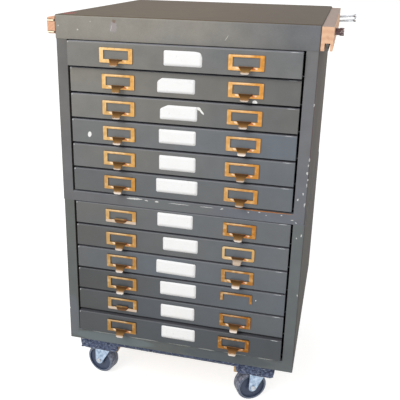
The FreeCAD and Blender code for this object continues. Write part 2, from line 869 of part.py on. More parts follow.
def wheel():
    """Wheel turned about its axle: rounded tread, recessed faces and a longer hub."""
    radius = wheel_diameter / 2
    half = wheel_width / 2
    shoulder = wheel_shoulder
    rim = radius - wheel_rim
    hub = hub_diameter / 2
    web = half - wheel_recess
    bore = axle_diameter / 2 + running_clearance
    curve = shoulder * (1 - math.sqrt(0.5))

    def point(r, y):
        return Vector(r, y, 0)

    straight = Part.makePolygon([
        point(radius, half - shoulder), point(radius, 0), point(bore, 0),
        point(bore, hub_width / 2), point(hub, hub_width / 2), point(hub, web),
        point(rim, web), point(rim, half), point(radius - shoulder, half),
    ])
    shoulder_arc = Part.Arc(point(radius - shoulder, half), point(radius - curve, half - curve),
                            point(radius, half - shoulder))
    profile = Part.Face(Part.Wire(straight.Edges + [shoulder_arc.toShape()]))
    turned = profile.revolve(Vector(0, 0, 0), Y_AXIS, 360)
    turned = fused([turned, turned.mirror(Vector(0, 0, 0), Y_AXIS)])
    turned.translate(Vector(-fork_trail, 0, radius))
    return turned


def axle():
    """Axle riveted over at both ends outside the fork's legs."""
    centre = Vector(-fork_trail, 0, wheel_diameter / 2)
    outside = hub_width / 2 + face_clearance + fork_sheet
    end = outside + axle_head_height
    pin = rod(axle_diameter, 2 * end, centre - Y_AXIS * end, Y_AXIS)
    head = rod(axle_head_diameter, axle_head_height, centre + Y_AXIS * outside, Y_AXIS)
    head = softened(head, axle_head_height / 2, lambda p: near(p.y, end))
    return fused([pin, head, head.mirror(centre, Y_AXIS)])


def build_casters():
    """Exports the plates together, and each fork, wheel and axle by itself."""
    bores = plate_screws(hole_clearance)
    places = caster_places()
    export("caster_plates", [caster_plate(place).cut(bores) for place in places.values()])
    makers = {"fork": fork, "wheel": wheel, "axle": axle}
    for name, place in places.items():
        for piece, make in makers.items():
            solid = make()
            solid.rotate(Vector(0, 0, 0), Z_AXIS, caster_turn[name])
            solid.translate(place)
            export(piece + "_" + name, [solid])


def main():
    """Builds every node."""
    os.makedirs("parts", exist_ok=True)
    build_section("lower")
    build_section("upper")
    build_section_bolts()
    for number in range(1, 2 * drawers_per_section + 1):
        export(f"drawer_{number:02d}", [tray(number)])
        export(f"pulls_{number:02d}", [pull(number, "left"), pull(number, "right")])
    build_top()
    build_dolly()
    build_casters()


main()
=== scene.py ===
"""Looks of the steel drawer cabinet: enamel, brass pulls, paper labels, wood, carpet and casters.

Metres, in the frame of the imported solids: +Z is up and the drawers face -Y. Sizes are written in
millimetres and turned into metres where they are used.
"""
import math
import random

import bmesh
import bpy
from mathutils import Matrix, Vector, noise


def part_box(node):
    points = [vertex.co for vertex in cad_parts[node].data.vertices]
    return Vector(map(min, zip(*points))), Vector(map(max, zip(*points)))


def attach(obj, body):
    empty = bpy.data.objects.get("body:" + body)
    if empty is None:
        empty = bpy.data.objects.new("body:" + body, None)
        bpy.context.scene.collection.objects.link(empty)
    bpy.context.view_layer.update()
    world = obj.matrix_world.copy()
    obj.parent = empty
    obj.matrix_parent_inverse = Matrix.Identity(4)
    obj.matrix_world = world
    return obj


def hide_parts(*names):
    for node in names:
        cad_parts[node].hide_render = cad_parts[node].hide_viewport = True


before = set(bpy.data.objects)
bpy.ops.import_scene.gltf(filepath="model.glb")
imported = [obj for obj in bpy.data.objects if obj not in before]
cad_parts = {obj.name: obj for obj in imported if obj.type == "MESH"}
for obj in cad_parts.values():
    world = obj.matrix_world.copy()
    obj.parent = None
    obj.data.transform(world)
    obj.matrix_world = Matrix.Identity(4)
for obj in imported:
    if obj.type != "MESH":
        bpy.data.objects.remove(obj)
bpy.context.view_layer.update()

MM = 0.001
# Points closer together than this are in one place, in millimetres
TOUCH = 0.01
DRAWERS = range(1, 13)
CORNERS = ("front_left", "front_right", "rear_left", "rear_right")

PULL_SPACING = 226.0


# Helpers for meshes

def in_scene(name, data):
    """A new object in the scene, for a mesh, a lamp or a camera."""
    made = bpy.data.objects.new(name, data)
    bpy.context.scene.collection.objects.link(made)
    return made


def piece(name, bm, materials, body, sharp_above=35.0):
    """Turns a finished mesh in metres into an object that rides on a body."""
    for face in bm.faces:
        face.smooth = True
    for edge in bm.edges:
        edge.smooth = edge.calc_face_angle(0.0) < math.radians(sharp_above)
    mesh = bpy.data.meshes.new(name)
    bm.to_mesh(mesh)
    bm.free()
    for material in materials:
        mesh.materials.append(material)
    made = in_scene(name, mesh)
    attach(made, body)
    return made


def thicken(made, name, thickness):
    """Gives an open skin its thickness in millimetres, on its inner side."""
    solid = made.modifiers.new(name, "SOLIDIFY")
    solid.thickness = thickness * MM
    solid.offset = -1
    return solid


def box_mm(node):
    """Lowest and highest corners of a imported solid, in millimetres."""
    return [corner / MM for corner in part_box(node)]


def cut(bm, point, normal, drop=False):
    """Cuts the whole mesh along a plane, and drops what lies in front of it if asked."""
    bmesh.ops.bisect_plane(bm, geom=bm.verts[:] + bm.edges[:] + bm.faces[:], dist=1e-6,
                           plane_co=point, plane_no=normal, clear_outer=drop)


def upright_sheet(bm, width, height):
    """Rectangle that stands upright across the front, with its middle at the origin."""
    bmesh.ops.create_grid(bm, x_segments=1, y_segments=1, size=0.5)
    bmesh.ops.rotate(bm, verts=bm.verts, matrix=Matrix.Rotation(math.pi / 2, 3, "X"))
    bmesh.ops.scale(bm, verts=bm.verts, vec=(width, 1, height))


def face_front(bm):
    """Turns the faces of an open sheet to one side, and that side to the front."""
    bmesh.ops.recalc_face_normals(bm, faces=bm.faces)
    if sum(face.normal.y * face.calc_area() for face in bm.faces) > 0:
        bmesh.ops.reverse_faces(bm, faces=bm.faces)


def drawer_face(number):
    """Middle of a drawer's front face and its half width and half height, in millimetres."""
    low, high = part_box(f"drawer_{number:02d}")
    middle = Vector(((low.x + high.x) / 2, low.y, (low.z + high.z) / 2)) / MM
    return middle, (high.x - low.x) / 2 / MM, (high.z - low.z) / 2 / MM


def onto_drawer(bm, number, across, rise):
    """Moves a mesh in millimetres to its place on a drawer's front, and turns it into metres."""
    bmesh.ops.translate(bm, verts=bm.verts, vec=drawer_face(number)[0] + Vector((across, 0, rise)))
    bmesh.ops.scale(bm, verts=bm.verts, vec=(MM, MM, MM))


# Helpers for materials

def colour(code):
    """A #RRGGBB screen colour as linear red, green, blue and alpha."""
    parts = [int(code[i:i + 2], 16) / 255 for i in (1, 3, 5)]
    return [c / 12.92 if c <= 0.04045 else ((c + 0.055) / 1.055) ** 2.4 for c in parts] + [1.0]


def per(size):
    """Texture scale that gives features of a size in millimetres."""
    return 1 / (size * MM)


def socket(sockets, name):
    """The socket in use that has a name, or a number counted over all of them."""
    if isinstance(name, int):
        return sockets[name]
    return next(s for s in sockets if s.enabled and s.name == name)


# How a Mix node joins two colours: blended, or multiplied as by a coloured filter
BLEND = {"data_type": "RGBA"}
FILTER = {"data_type": "RGBA", "blend_type": "MULTIPLY"}


def first_output(node):
    """The first output that a node has in use."""
    return next(s for s in node.outputs if s.enabled)


def add(tree, kind, values=None, sources=None):
    """Adds a node. Lower-case names among its values set its properties, and other names and
    numbers its sockets. Its sources are nodes or sockets to link, or a colour to set."""
    made = tree.nodes.new("ShaderNode" + kind)
    values = values or {}
    for name in [n for n in values if isinstance(n, str) and n.islower()]:
        setattr(made, name, values[name])
    for name in [n for n in values if not (isinstance(n, str) and n.islower())]:
        socket(made.inputs, name).default_value = values[name]
    for name, source in (sources or {}).items():
        target = socket(made.inputs, name)
        if isinstance(source, list):
            target.default_value = source
        else:
            is_node = isinstance(source, bpy.types.Node)
            tree.links.new(first_output(source) if is_node else source, target)
    return made


def empty_tree(owner):
    """Node tree of a material or a world, with nothing in it yet."""
    owner.use_nodes = True
    owner.node_tree.nodes.clear()
    return owner.node_tree


def new_finish(name, **settings):
    """A material with its shader joined up, and the piece's own coordinates."""
    made = bpy.data.materials.new(name)
    tree = empty_tree(made)
    shader = add(tree, "BsdfPrincipled", settings)
    add(tree, "OutputMaterial", {}, {"Surface": shader})
    at = add(tree, "TexCoord").outputs["Object"]
    return made, tree, shader, at


def join(tree, shader, **sources):
    """Links what patterns give to the shader's colour, roughness, normal or metallic."""
    names = {"colour": "Base Color", "roughness": "Roughness", "normal": "Normal",
             "metallic": "Metallic"}
    for name, source in sources.items():
        tree.links.new(first_output(source), shader.inputs[names[name]])


def stained(tree, tone, pattern, start, full, most, code):
    """Tone that turns to another colour where a pattern goes from its start to its full value."""
    share = add(tree, "MapRange", {"From Min": start, "From Max": full, "To Max": most},
                {"Value": pattern})
    return add(tree, "Mix", BLEND, {"Factor": share, "A": tone, "B": colour(code)})


def marks_at(middle, front, height, deep, rows):
    """Marks on an upright face. A row is a mark's place across and up from a middle
    and a height, its half width and half height, and its lean, in millimetres and degrees."""
    return [((middle + across, front, height + rise), (half, deep, high), lean)
            for across, rise, half, high, lean in rows]


def mark_mask(tree, at, marks, ragged):
    """Share from 0 to 1 inside listed marks with ragged rims. A mark is its middle, its
    half sizes and its lean, in millimetres and degrees."""
    grain = add(tree, "TexNoise", {"Scale": per(2.2), "Detail": 3.0}, {"Vector": at})
    centred = add(tree, "VectorMath", {"operation": "SUBTRACT", 1: (0.5, 0.5, 0.5)},
                  {0: grain.outputs["Color"]})
    pushed = add(tree, "VectorMath", {"operation": "SCALE", "Scale": 2 * ragged * MM}, {0: centred})
    moved = add(tree, "VectorMath", {"operation": "ADD"}, {0: at, 1: pushed})
    nearest = None
    for middle, half, lean in marks:
        own = add(tree, "Mapping", {"vector_type": "TEXTURE", "Location": Vector(middle) * MM,
                                    "Rotation": (0, math.radians(lean), 0),
                                    "Scale": Vector(half) * MM}, {"Vector": moved})
        reach = add(tree, "VectorMath", {"operation": "LENGTH"}, {0: own})
        if nearest is not None:
            reach = add(tree, "Math", {"operation": "MINIMUM"}, {0: reach, 1: nearest})
        nearest = reach
    return add(tree, "MapRange", {"From Min": 1.0, "From Max": 0.8}, {"Value": nearest})


# Enamels

def tone_and_sky_reflection(tree, own, place, warm, cool, cooled):
    """Tone of the enamel: cooler to the right, which is a painted reflection of the sky, and cooler
    lower down, in broad clouds.
    """
    broad = add(tree, "TexNoise", {"Scale": per(190), "Detail": 2.0}, {"Vector": own})
    across = add(tree, "MapRange", {"From Min": -0.24, "From Max": 0.22, "To Min": cooled[0],
                                    "To Max": cooled[1]}, {"Value": place.outputs["X"]})
    down = add(tree, "MapRange", {"From Min": 0.75, "From Max": 0.3, "To Max": 0.6},
               {"Value": place.outputs["Z"]})
    spread = add(tree, "MapRange", {"From Min": 0.3, "From Max": 0.7, "To Min": -0.2,
                                    "To Max": 0.25}, {"Value": broad})
    share = add(tree, "Math", {"operation": "ADD"}, {0: across, 1: down})
    share = add(tree, "Math", {"operation": "ADD", "use_clamp": True}, {0: share, 1: spread})
    return add(tree, "Mix", BLEND, {"Factor": share, "A": colour(warm), "B": colour(cool)})


def shade_and_dust_level(tree, at, place, clouds, falls, sides):
    """Brightness of the enamel: a painted shade that darkens it towards the floor and differs from
    side to side, clouded where hands have been, and finely dusted."""
    # Painted shade: the falls darken the enamel towards the floor, and the sides darken its ends
    edge_fall, rest_fall = [add(tree, "MapRange", {"From Min": 0.15, "From Max": 0.75,
                                                   "To Min": low, "To Max": high},
                                {"Value": place.outputs["Z"]}) for low, high in falls]
    inward = add(tree, "MapRange", {"From Min": -0.22, "From Max": -0.02},
                 {"Value": place.outputs["X"]})
    level = add(tree, "Mix", {}, {"Factor": inward, "A": edge_fall, "B": rest_fall})
    cloudy = add(tree, "MapRange", {"From Min": 0.25, "From Max": 0.75, "To Min": 0.9,
                                    "To Max": 1.1}, {"Value": clouds})
    sided = add(tree, "MapRange", {"From Min": -0.24, "From Max": 0.16, "To Min": sides[0],
                                   "To Max": sides[1]}, {"Value": place.outputs["X"]})
    dust = add(tree, "TexNoise", {"Scale": per(1.6), "Detail": 2.0}, {"Vector": at})
    dusty = add(tree, "MapRange", {"From Min": 0.2, "From Max": 0.8, "To Min": 0.93,
                                   "To Max": 1.07}, {"Value": dust})
    for part in (cloudy, sided, dusty):
        level = add(tree, "Math", {"operation": "MULTIPLY"}, {0: level, 1: part})
    return level


def lighter_back_share(tree, at, place):
    """Where the painted shade of the sides turns lighter: high up and towards the back, in upright
    streaks.
    """
    streak_at = add(tree, "Mapping", {"Scale": (1.0, 1.0, 0.06)}, {"Vector": at})
    streaks = add(tree, "TexNoise", {"Scale": per(24), "Detail": 2.0}, {"Vector": streak_at})
    streaky = add(tree, "MapRange", {"From Min": 0.35, "From Max": 0.6, "To Min": 0.6},
                  {"Value": streaks})
    back = add(tree, "MapRange", {"From Min": -0.1, "From Max": 0.16},
               {"Value": place.outputs["Y"]})
    raised = add(tree, "MapRange", {"From Min": 0.28, "From Max": 0.55},
                 {"Value": place.outputs["Z"]})
    lighter_back = add(tree, "Math", {"operation": "MULTIPLY"}, {0: back, 1: raised})
    return add(tree, "Math", {"operation": "MULTIPLY"}, {0: lighter_back, 1: streaky})


def painted_face_light(tree, tone, dull, lighter_back, face_light):
    """Tone and roughness in which the faces turned along an axis have their own: a colour painted
    for how light falls on them, darker on some faces and lighter on others.
    """
    facing = add(tree, "SeparateXYZ", {}, {"Vector": add(tree, "NewGeometry").outputs["Normal"]})
    for axis, near, far, rough in face_light:
        turned = add(tree, "Math", {"operation": "ABSOLUTE"}, {0: facing.outputs[axis]})
        turned = add(tree, "MapRange", {"From Min": 0.35, "From Max": 0.85}, {"Value": turned})
        own = add(tree, "Mix", BLEND, {"Factor": lighter_back, "A": colour(near), "B": colour(far)})
        tone = add(tree, "Mix", BLEND, {"Factor": turned, "A": tone, "B": own})
        dull = add(tree, "Mix", {"B": rough}, {"Factor": turned, "A": dull})
    return tone, dull


def enamel(name, warm, cool, seed, groups=(), face_light=(), falls=((0.85, 1.0), (0.75, 1.03)),
           cooled=(0.0, 0.4), sides=(1.0, 1.0), gloss=0.5):
    """Baked enamel sprayed on sheet steel: a faintly rippled skin with a soft sheen, mottled from
    olive to blue-grey with age, dulled in clouds by hands and dust, and painted darker near the
    floor as painted shade.

    A group of marks is their colour, how ragged their rims are, and the marks. A face light is an
    axis, the colour painted on the faces turned that way as their shade or highlight, their colour
    high up at the back, and their roughness. The falls are the brightness at the bottom and the
    top, for the left edge and for the rest, as painted shade. Cooled is the share of the cool tone
    at the left and the right, partly a painted reflection of the sky, and the sides are the
    brightness there, as painted shade."""
    made, tree, shader, at = new_finish(name)
    shader.inputs["Specular IOR Level"].default_value = gloss
    own = add(tree, "Mapping", {"Location": (seed * 0.37, 0.0, seed * 0.53)}, {"Vector": at})
    clouds = add(tree, "TexNoise", {"Scale": per(32), "Detail": 5.0}, {"Vector": own})
    place = add(tree, "SeparateXYZ", {}, {"Vector": at})
    tone = tone_and_sky_reflection(tree, own, place, warm, cool, cooled)
    dull = add(tree, "MapRange", {"From Min": 0.3, "From Max": 0.7, "To Min": 0.34,
                                  "To Max": 0.5}, {"Value": clouds})
    tone, dull = painted_face_light(tree, tone, dull, lighter_back_share(tree, at, place), face_light)
    level = shade_and_dust_level(tree, at, place, clouds, falls, sides)
    tone = add(tree, "VectorMath", {"operation": "SCALE"}, {0: tone, "Scale": level})
    for code, ragged, marks in groups:
        marked = mark_mask(tree, at, marks, ragged)
        tone = add(tree, "Mix", BLEND, {"Factor": marked, "A": tone, "B": colour(code)})
    ripple = add(tree, "TexNoise", {"Scale": per(2.6), "Detail": 1.0}, {"Vector": at})
    skin = add(tree, "Bump", {"Strength": 0.12, "Distance": 0.0004}, {"Height": ripple})
    join(tree, shader, colour=tone, roughness=dull, normal=skin)
    return made


PALE_CHIP, RUST = "#D9D9D6", "#B0723C"
# Faces with a colour of their own, painted for how light falls on them: the sides darker as painted
# shade, the cap's top darker and browner as dust and a painted reflection, and upward faces of the
# carcass and drawers lighter as a painted highlight. Axis, colour, colour high up at the back, and
# roughness
SIDE_SHADE = ("X", "#57534F", "#6A635D", 0.8)
CARCASS_FACE_LIGHT = (SIDE_SHADE, ("Z", "#8C8E94", "#8C8E94", 0.5))
CAP_FACE_LIGHT = (SIDE_SHADE, ("Z", "#584A37", "#584A37", 0.6))
DRAWER_TOP_HIGHLIGHT = (("Z", "#818289", "#818289", 0.5),)
CARCASS_GLOSS = 0.3


def upper_enamel(middle, front):
    """Upper section: rubbed through along its base rail, rusted at the right, its posts chipped,
    with a painted highlight down its left post.
    """
    edge = frame_height("upper_base")
    chips = marks_at(middle, front, edge, 3, (
        (-85, -3, 17, 1.7, -2), (-62, -4, 4, 1.1, 10), (-42, -4, 4, 1.4, 0), (0, -4, 22, 0.6, 0),
        (52, -4, 14, 0.5, 0), (80, -4, 3.5, 0.9, -20), (128, -5, 2, 0.8, 0),
        (148, -3, 2, 0.8, 0), (160, -7, 1.6, 0.9, 0), (187, -4, 1.4, 0.9, 0),
        (206, -11, 2.6, 0.9, 0), (213, -15, 1.5, 0.9, 0)))
    chips += marks_at(middle, front, edge, 5, (
        (213, 29, 1.5, 2.4, 20), (225, 20, 1.2, 4.2, 5), (226, 56, 1.0, 4.0, -8),
        (225, 78, 1.4, 3.0, 0), (221, 40, 1.2, 2.4, 0), (227, 66, 1.2, 2.0, 0),
        (226, 92, 1.0, 2.2, 0), (227, 102, 1.2, 3.4, 0), (206, 158, 1.0, 2.0, 0),
        (206, 174, 1.0, 2.2, 0), (227, 196, 0.9, 2.4, 0)))
    rust = marks_at(middle, front + 0.5, edge, 3, ((152, 0, 60, 1.1, 0),))
    # Painted highlight: a pale bluish strip down the left post
    rubbed = marks_at(middle, front + 1, edge, 4, ((-228, 246, 1.5, 18, 0), (-228, 276, 1.5, 9, 0)))
    wiped = marks_at(middle, front, edge, 4, ((-20, -10, 90, 11, 0),))
    reddened = marks_at(middle, front, edge, 6, ((229, 165, 1.9, 125, 0),))
    groups = (("#6F7273", 4.0, wiped), (PALE_CHIP, 1.7, chips), (RUST, 0.8, rust),
              ("#7D6264", 1.2, reddened), ("#A9B0C2", 1.0, rubbed))
    return enamel("carcass enamel, upper section", "#706D69", "#6A6E77", 3.1, groups,
                  CARCASS_FACE_LIGHT, sides=(1.06, 1.22), gloss=CARCASS_GLOSS)


def lower_enamel(middle, front):
    """Lower section: scratched along its base rail, with chipped edges, a scuffed corner, and a
    painted shade along the right of its base rail.
    """
    edge = frame_height("lower_base")
    chips = marks_at(middle, front, edge, 5, (
        (224, 264, 1.1, 3.0, 10), (216, 258, 1.0, 1.6, 0), (226, 145, 0.9, 2.2, 0),
        (-226, 46, 2.0, 2.4, 0)))
    scratches = marks_at(middle, front, edge, 2, (
        (-150, -0.6, 30, 0.9, 0), (-70, -1.0, 34, 0.9, 0), (5, -0.4, 26, 0.9, 0),
        (60, -1.2, 18, 0.9, 0), (118, -0.4, 24, 0.9, 0), (176, -0.8, 16, 0.9, 0)))
    scuffed = marks_at(middle, front, edge, 4, ((-219, 30, 14, 52, 0),))
    wiped = marks_at(middle, front, edge, 4, ((-135, -12, 95, 13, 0),))
    # Painted shade: a darker patch along the right half of the base rail
    dull = marks_at(middle, front, edge, 4, ((100, -12, 100, 13, 0),))
    groups = (("#6B6E73", 3.0, scuffed), ("#6D7678", 4.0, wiped), ("#565C5F", 4.0, dull),
              (PALE_CHIP, 1.2, chips), ("#B4B8B3", 0.9, scratches))
    return enamel("carcass enamel, lower section", "#6A6D66", "#676C6E", 7.7, groups,
                  CARCASS_FACE_LIGHT, sides=(1.0, 1.22), gloss=CARCASS_GLOSS)


def cap_enamel(middle, front):
    """Cap: painted lighter than the sections as painted light, and darker and browner on top as
    dust and a painted reflection, with specks, scratches and a red smear.
    """
    low, high = box_mm("top_cap")
    patch = marks_at(middle, front, high.z, 3, ((-120, -17, 7, 12, 4),))
    stain = marks_at(middle, front, high.z, 3, ((-119, -8, 4, 3, 20),))
    specks = marks_at(middle, front, high.z, 3, (
        (-222, -19, 1.5, 1.2, 0), (-186, -24.5, 1.6, 1.4, 20), (-162, -10, 0.9, 1.2, 0),
        (-124, -20, 0.5, 6, 15), (77, -27, 0.5, 6, 32)))
    smear = [((low.x + 15, low.y + 32, high.z), (13, 19, 3), 0)]
    groups = (("#A29A99", 3.5, patch), ("#877568", 2.0, stain), ("#CFCBC3", 0.6, specks),
              ("#8E4238", 3.0, smear))
    return enamel("cap enamel", "#8F8B83", "#6C737F", 5.3, groups, CAP_FACE_LIGHT,
                  falls=((0.85, 0.88), (0.75, 1.16)), cooled=(-0.3, 0.66), sides=(1.22, 0.71),
                  gloss=CARCASS_GLOSS)


def frame_height(base_node):
    """Top edge of a base pan's front rail, in millimetres."""
    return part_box(base_node)[1].z / MM


def worn_enamels():
    """Enamel for each part of the carcass, with the chips, rust and smears of its own place."""
    middle = drawer_face(3)[0].x
    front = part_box("upper_base")[0].y / MM
    return {"upper": upper_enamel(middle, front), "lower": lower_enamel(middle, front),
            "cap": cap_enamel(middle, front)}


# Scraps of torn paper on the drawers' fronts, as rows of marks from the middle of each
SCRAPS = {2: ((129, -19.5, 4.6, 3.4, 10),),
          3: ((33, 9.6, 4.6, 2.8, 30), (37.5, 5, 7.2, 1.9, 48)),
          4: ((-170, -5.5, 3.8, 5.8, 12),),
          10: ((150, 3, 1.1, 1.3, 0),)}
# Share of the cool tone at the left end of a drawer's front, where it isn't 0
DRAWER_COOL = {1: 0.1, 2: -0.1, 3: -0.1, 4: 0.2, 6: 0.2}
# Brightness at the left and right ends of a drawer's front, a painted shade, where it isn't the
# usual one
USUAL_SIDES = (1.0, 0.98)
DRAWER_SIDES = {2: (1.12, 0.76), 3: (1.1, 0.78), 4: (0.94, 1.0), 5: (0.93, 0.93),
                6: (0.76, 0.92), 7: (0.86, 0.93), 8: (0.62, 0.98), 9: (0.93, 0.94),
                10: (0.42, 0.93), 11: (0.54, 0.84), 12: (0.62, 0.44)}


def drawer_enamel(number):
    """Enamel of one drawer front, with the scraps of torn paper and the chips that it carries."""
    middle, half_width, half_height = drawer_face(number)
    chips = ((half_width - 14, half_height - 1, 8, 0.5, 0),
             (2 - half_width, half_height - 2, 1.0, 1.6, 0))
    groups = [(code, ragged, marks_at(middle.x, middle.y, middle.z, 2, rows))
              for code, ragged, rows in (("#FAF9F6", 0.8, SCRAPS.get(number)),
                                         ("#B9BCBE", 0.7, chips)) if rows]
    cool = DRAWER_COOL.get(number, 0.0)
    return enamel(f"drawer enamel {number:02d}", "#7C7870", "#686F77", 1.3 * number, groups,
                  DRAWER_TOP_HIGHLIGHT, falls=((0.6, 1.15), (0.82, 1.03)), cooled=(cool, cool + 0.4),
                  sides=DRAWER_SIDES.get(number, USUAL_SIDES))


# Metals

def gold_reflection_and_tarnish(tree, at, clouds):
    """Colour of the plates: painted pale cream gold on the upper left pulls and ochre on the lower
    right ones as a painted reflection, with polished and tarnished clouds and fine dark pits."""
    place = add(tree, "SeparateXYZ", {}, {"Vector": at})
    # Painted reflection: the brass is darker lower down and a deeper gold to the right
    rise = add(tree, "MapRange", {"From Min": 0.15, "From Max": 0.73},
               {"Value": place.outputs["Z"]})
    rise = add(tree, "Math", {"operation": "POWER", 1: 1.5}, {0: rise})
    gold = add(tree, "Mix", BLEND, {"Factor": rise, "A": colour("#90672F"), "B": colour("#E8BC7C")})
    across = add(tree, "MapRange", {"From Min": -0.13, "From Max": 0.09},
                 {"Value": place.outputs["X"]})
    gold = add(tree, "Mix", FILTER, {"Factor": across, "A": gold, "B": colour("#F4DDB4")})
    gold = stained(tree, gold, clouds, 0.5, 0.72, 0.35, "#F3DDB6")
    gold = stained(tree, gold, clouds, 0.48, 0.28, 0.45, "#96693A")
    pits = add(tree, "TexNoise", {"Scale": per(1.1), "Detail": 2.0}, {"Vector": at})
    gold = stained(tree, gold, pits, 0.66, 0.76, 0.6, "#7E5729")
    pale = add(tree, "Attribute", {"attribute_name": "pale"}).outputs["Fac"]
    return add(tree, "Mix", BLEND, {"Factor": pale, "A": gold, "B": colour("#E6D5AC")})


# Painted glints on a pull, standing in for reflections beside the tongue's root, and a painted
# highlight along its top: their colour, their strength, and rows of marks from the middle of its
# plate
GLINTS = (("#F3DCC4", 0.6, ((-15.0, -8.8, 3.4, 2.0, 25), (15.8, -9.0, 4.0, 1.8, -10))),
          ("#AE552F", 0.8, ((11.6, -9.2, 5.2, 1.9, 15),)),
          ("#F5DFC0", 0.4, ((-6.0, 11.6, 22, 1.1, 0),)))


def glinting(tree, gold, own, varied):
    """Brass with painted pale and red-brown glints beside the tongue's root and a painted highlight
    along the top, stronger on some pulls.
    """
    for code, strength, rows in GLINTS:
        share = add(tree, "MapRange", {"From Min": 0.33, "From Max": 0.5, "To Max": strength},
                    {"Value": varied})
        glint = mark_mask(tree, own, marks_at(0, -PLATE_PROUD, 0, 3, rows), 0.8)
        share = add(tree, "Math", {"operation": "MULTIPLY"}, {0: share, 1: glint})
        gold = add(tree, "Mix", BLEND, {"Factor": share, "A": gold, "B": colour(code)})
    return gold


def tongue_tarnish_and_reflection(tree, gold, tongue, depth, varied):
    """Brass painted brown on the tongue as tarnish and a painted reflection of the dark drawer
    front, and darkest at its root.
    """
    out = add(tree, "MapRange", {"From Min": -0.003, "From Max": -0.0145}, {"Value": depth})
    far = add(tree, "Mix", BLEND,
              {"Factor": varied, "A": colour("#875223"), "B": colour("#866C34")})
    brown = add(tree, "Mix", BLEND, {"Factor": out, "A": colour("#593815"), "B": far})
    return add(tree, "Mix", BLEND, {"Factor": tongue, "A": gold, "B": brown})


def lip_wear_and_highlight(tree, gold, at):
    """Brass bright on the tongue's lip, rubbed by fingers and with a painted highlight where the
    lip turns to the light, with a ragged upper edge.
    """
    bare = add(tree, "Attribute", {"attribute_name": "bare"}).outputs["Fac"]
    fine = add(tree, "TexNoise", {"Scale": per(3)}, {"Vector": at})
    ragged = add(tree, "MapRange", {"From Min": 0.3, "From Max": 0.7, "To Min": -0.0008,
                                    "To Max": 0.0008}, {"Value": fine})
    lip = add(tree, "Math", {"operation": "ADD"}, {0: bare, 1: ragged})
    lip = add(tree, "MapRange", {"From Min": -0.0003, "From Max": 0.0005}, {"Value": lip})
    # Painted highlight: the lip grows brighter towards its lower edge
    rubbed = add(tree, "MapRange", {"From Max": 0.0035}, {"Value": bare})
    bright = add(tree, "Mix", BLEND,
                 {"Factor": rubbed, "A": colour("#9F8160"), "B": colour("#EDE3DA")})
    return add(tree, "Mix", BLEND, {"Factor": lip, "A": gold, "B": bright})


def pull_brass():
    """Sheet brass, stamped and bent, its lacquer gone yellow: a satin gold, with painted pale and
    red-brown glints beside the root of the tongue. The folded edges have gone brown, the tongues
    are painted brown as tarnish and a painted reflection, and the lips bright as wear and a painted
    highlight."""
    made, tree, shader, at = new_finish("aged lacquered brass")
    own = add(tree, "Attribute", {"attribute_name": "own"}).outputs["Vector"]
    spot = add(tree, "SeparateXYZ", {}, {"Vector": own})
    depth = spot.outputs["Y"]
    clouds = add(tree, "TexNoise", {"Scale": per(8), "Detail": 4.0}, {"Vector": at})
    gold = gold_reflection_and_tarnish(tree, at, clouds)
    # Painted reflection: each plate is paler at its left and a deeper gold at its right
    side_reflection = add(tree, "MapRange", {"From Min": -0.03, "From Max": 0.03, "To Max": 0.7},
                  {"Value": spot.outputs["X"]})
    gold = add(tree, "Mix", FILTER, {"Factor": side_reflection, "A": gold, "B": colour("#FAE2AE")})
    gold = stained(tree, gold, depth, -0.0021, -0.0018, 0.7, "#855428")
    varied = add(tree, "TexNoise", {"Scale": per(60)}, {"Vector": at})
    gold = glinting(tree, gold, own, varied)
    tongue = add(tree, "MapRange", {"From Min": -0.00225, "From Max": -0.0027}, {"Value": depth})
    gold = lip_wear_and_highlight(tree, tongue_tarnish_and_reflection(tree, gold, tongue, depth, varied), at)
    metal = add(tree, "MapRange", {"To Min": 1.0, "To Max": 0.3}, {"Value": tongue})
    satin = add(tree, "MapRange", {"From Min": 0.3, "From Max": 0.7, "To Min": 0.3,
                                   "To Max": 0.48}, {"Value": clouds})
    satin = add(tree, "Mix", {"B": 0.6}, {"Factor": tongue, "A": satin})
    dents = add(tree, "Bump", {"Strength": 0.25, "Distance": 0.0003}, {"Height": clouds})
    join(tree, shader, colour=gold, roughness=satin, normal=dents, metallic=metal)
    return made


def plated(name, pale, dark, grain, roughness=(0.25, 0.45)):
    """Plated or bare sheet metal: a slightly cloudy shine with fine spangle and handling stains."""
    made, tree, shader, at = new_finish(name, Metallic=1.0)
    clouds = add(tree, "TexNoise", {"Scale": per(grain), "Detail": 5.0}, {"Vector": at})
    tone = stained(tree, colour(pale), clouds, 0.35, 0.7, 1.0, dark)
    shine = add(tree, "MapRange", {"From Min": 0.3, "From Max": 0.7, "To Min": roughness[0],
                                   "To Max": roughness[1]}, {"Value": clouds})
    spangle = add(tree, "Bump", {"Strength": 0.2, "Distance": 0.0002}, {"Height": clouds})
    join(tree, shader, colour=tone, roughness=shine, normal=spangle)
    return made


# Wood, carpet, paper and rubber

# The wave texture repeats about every 0.31 units, so with this its bands are as wide as asked
WAVE_BANDS = 6.3


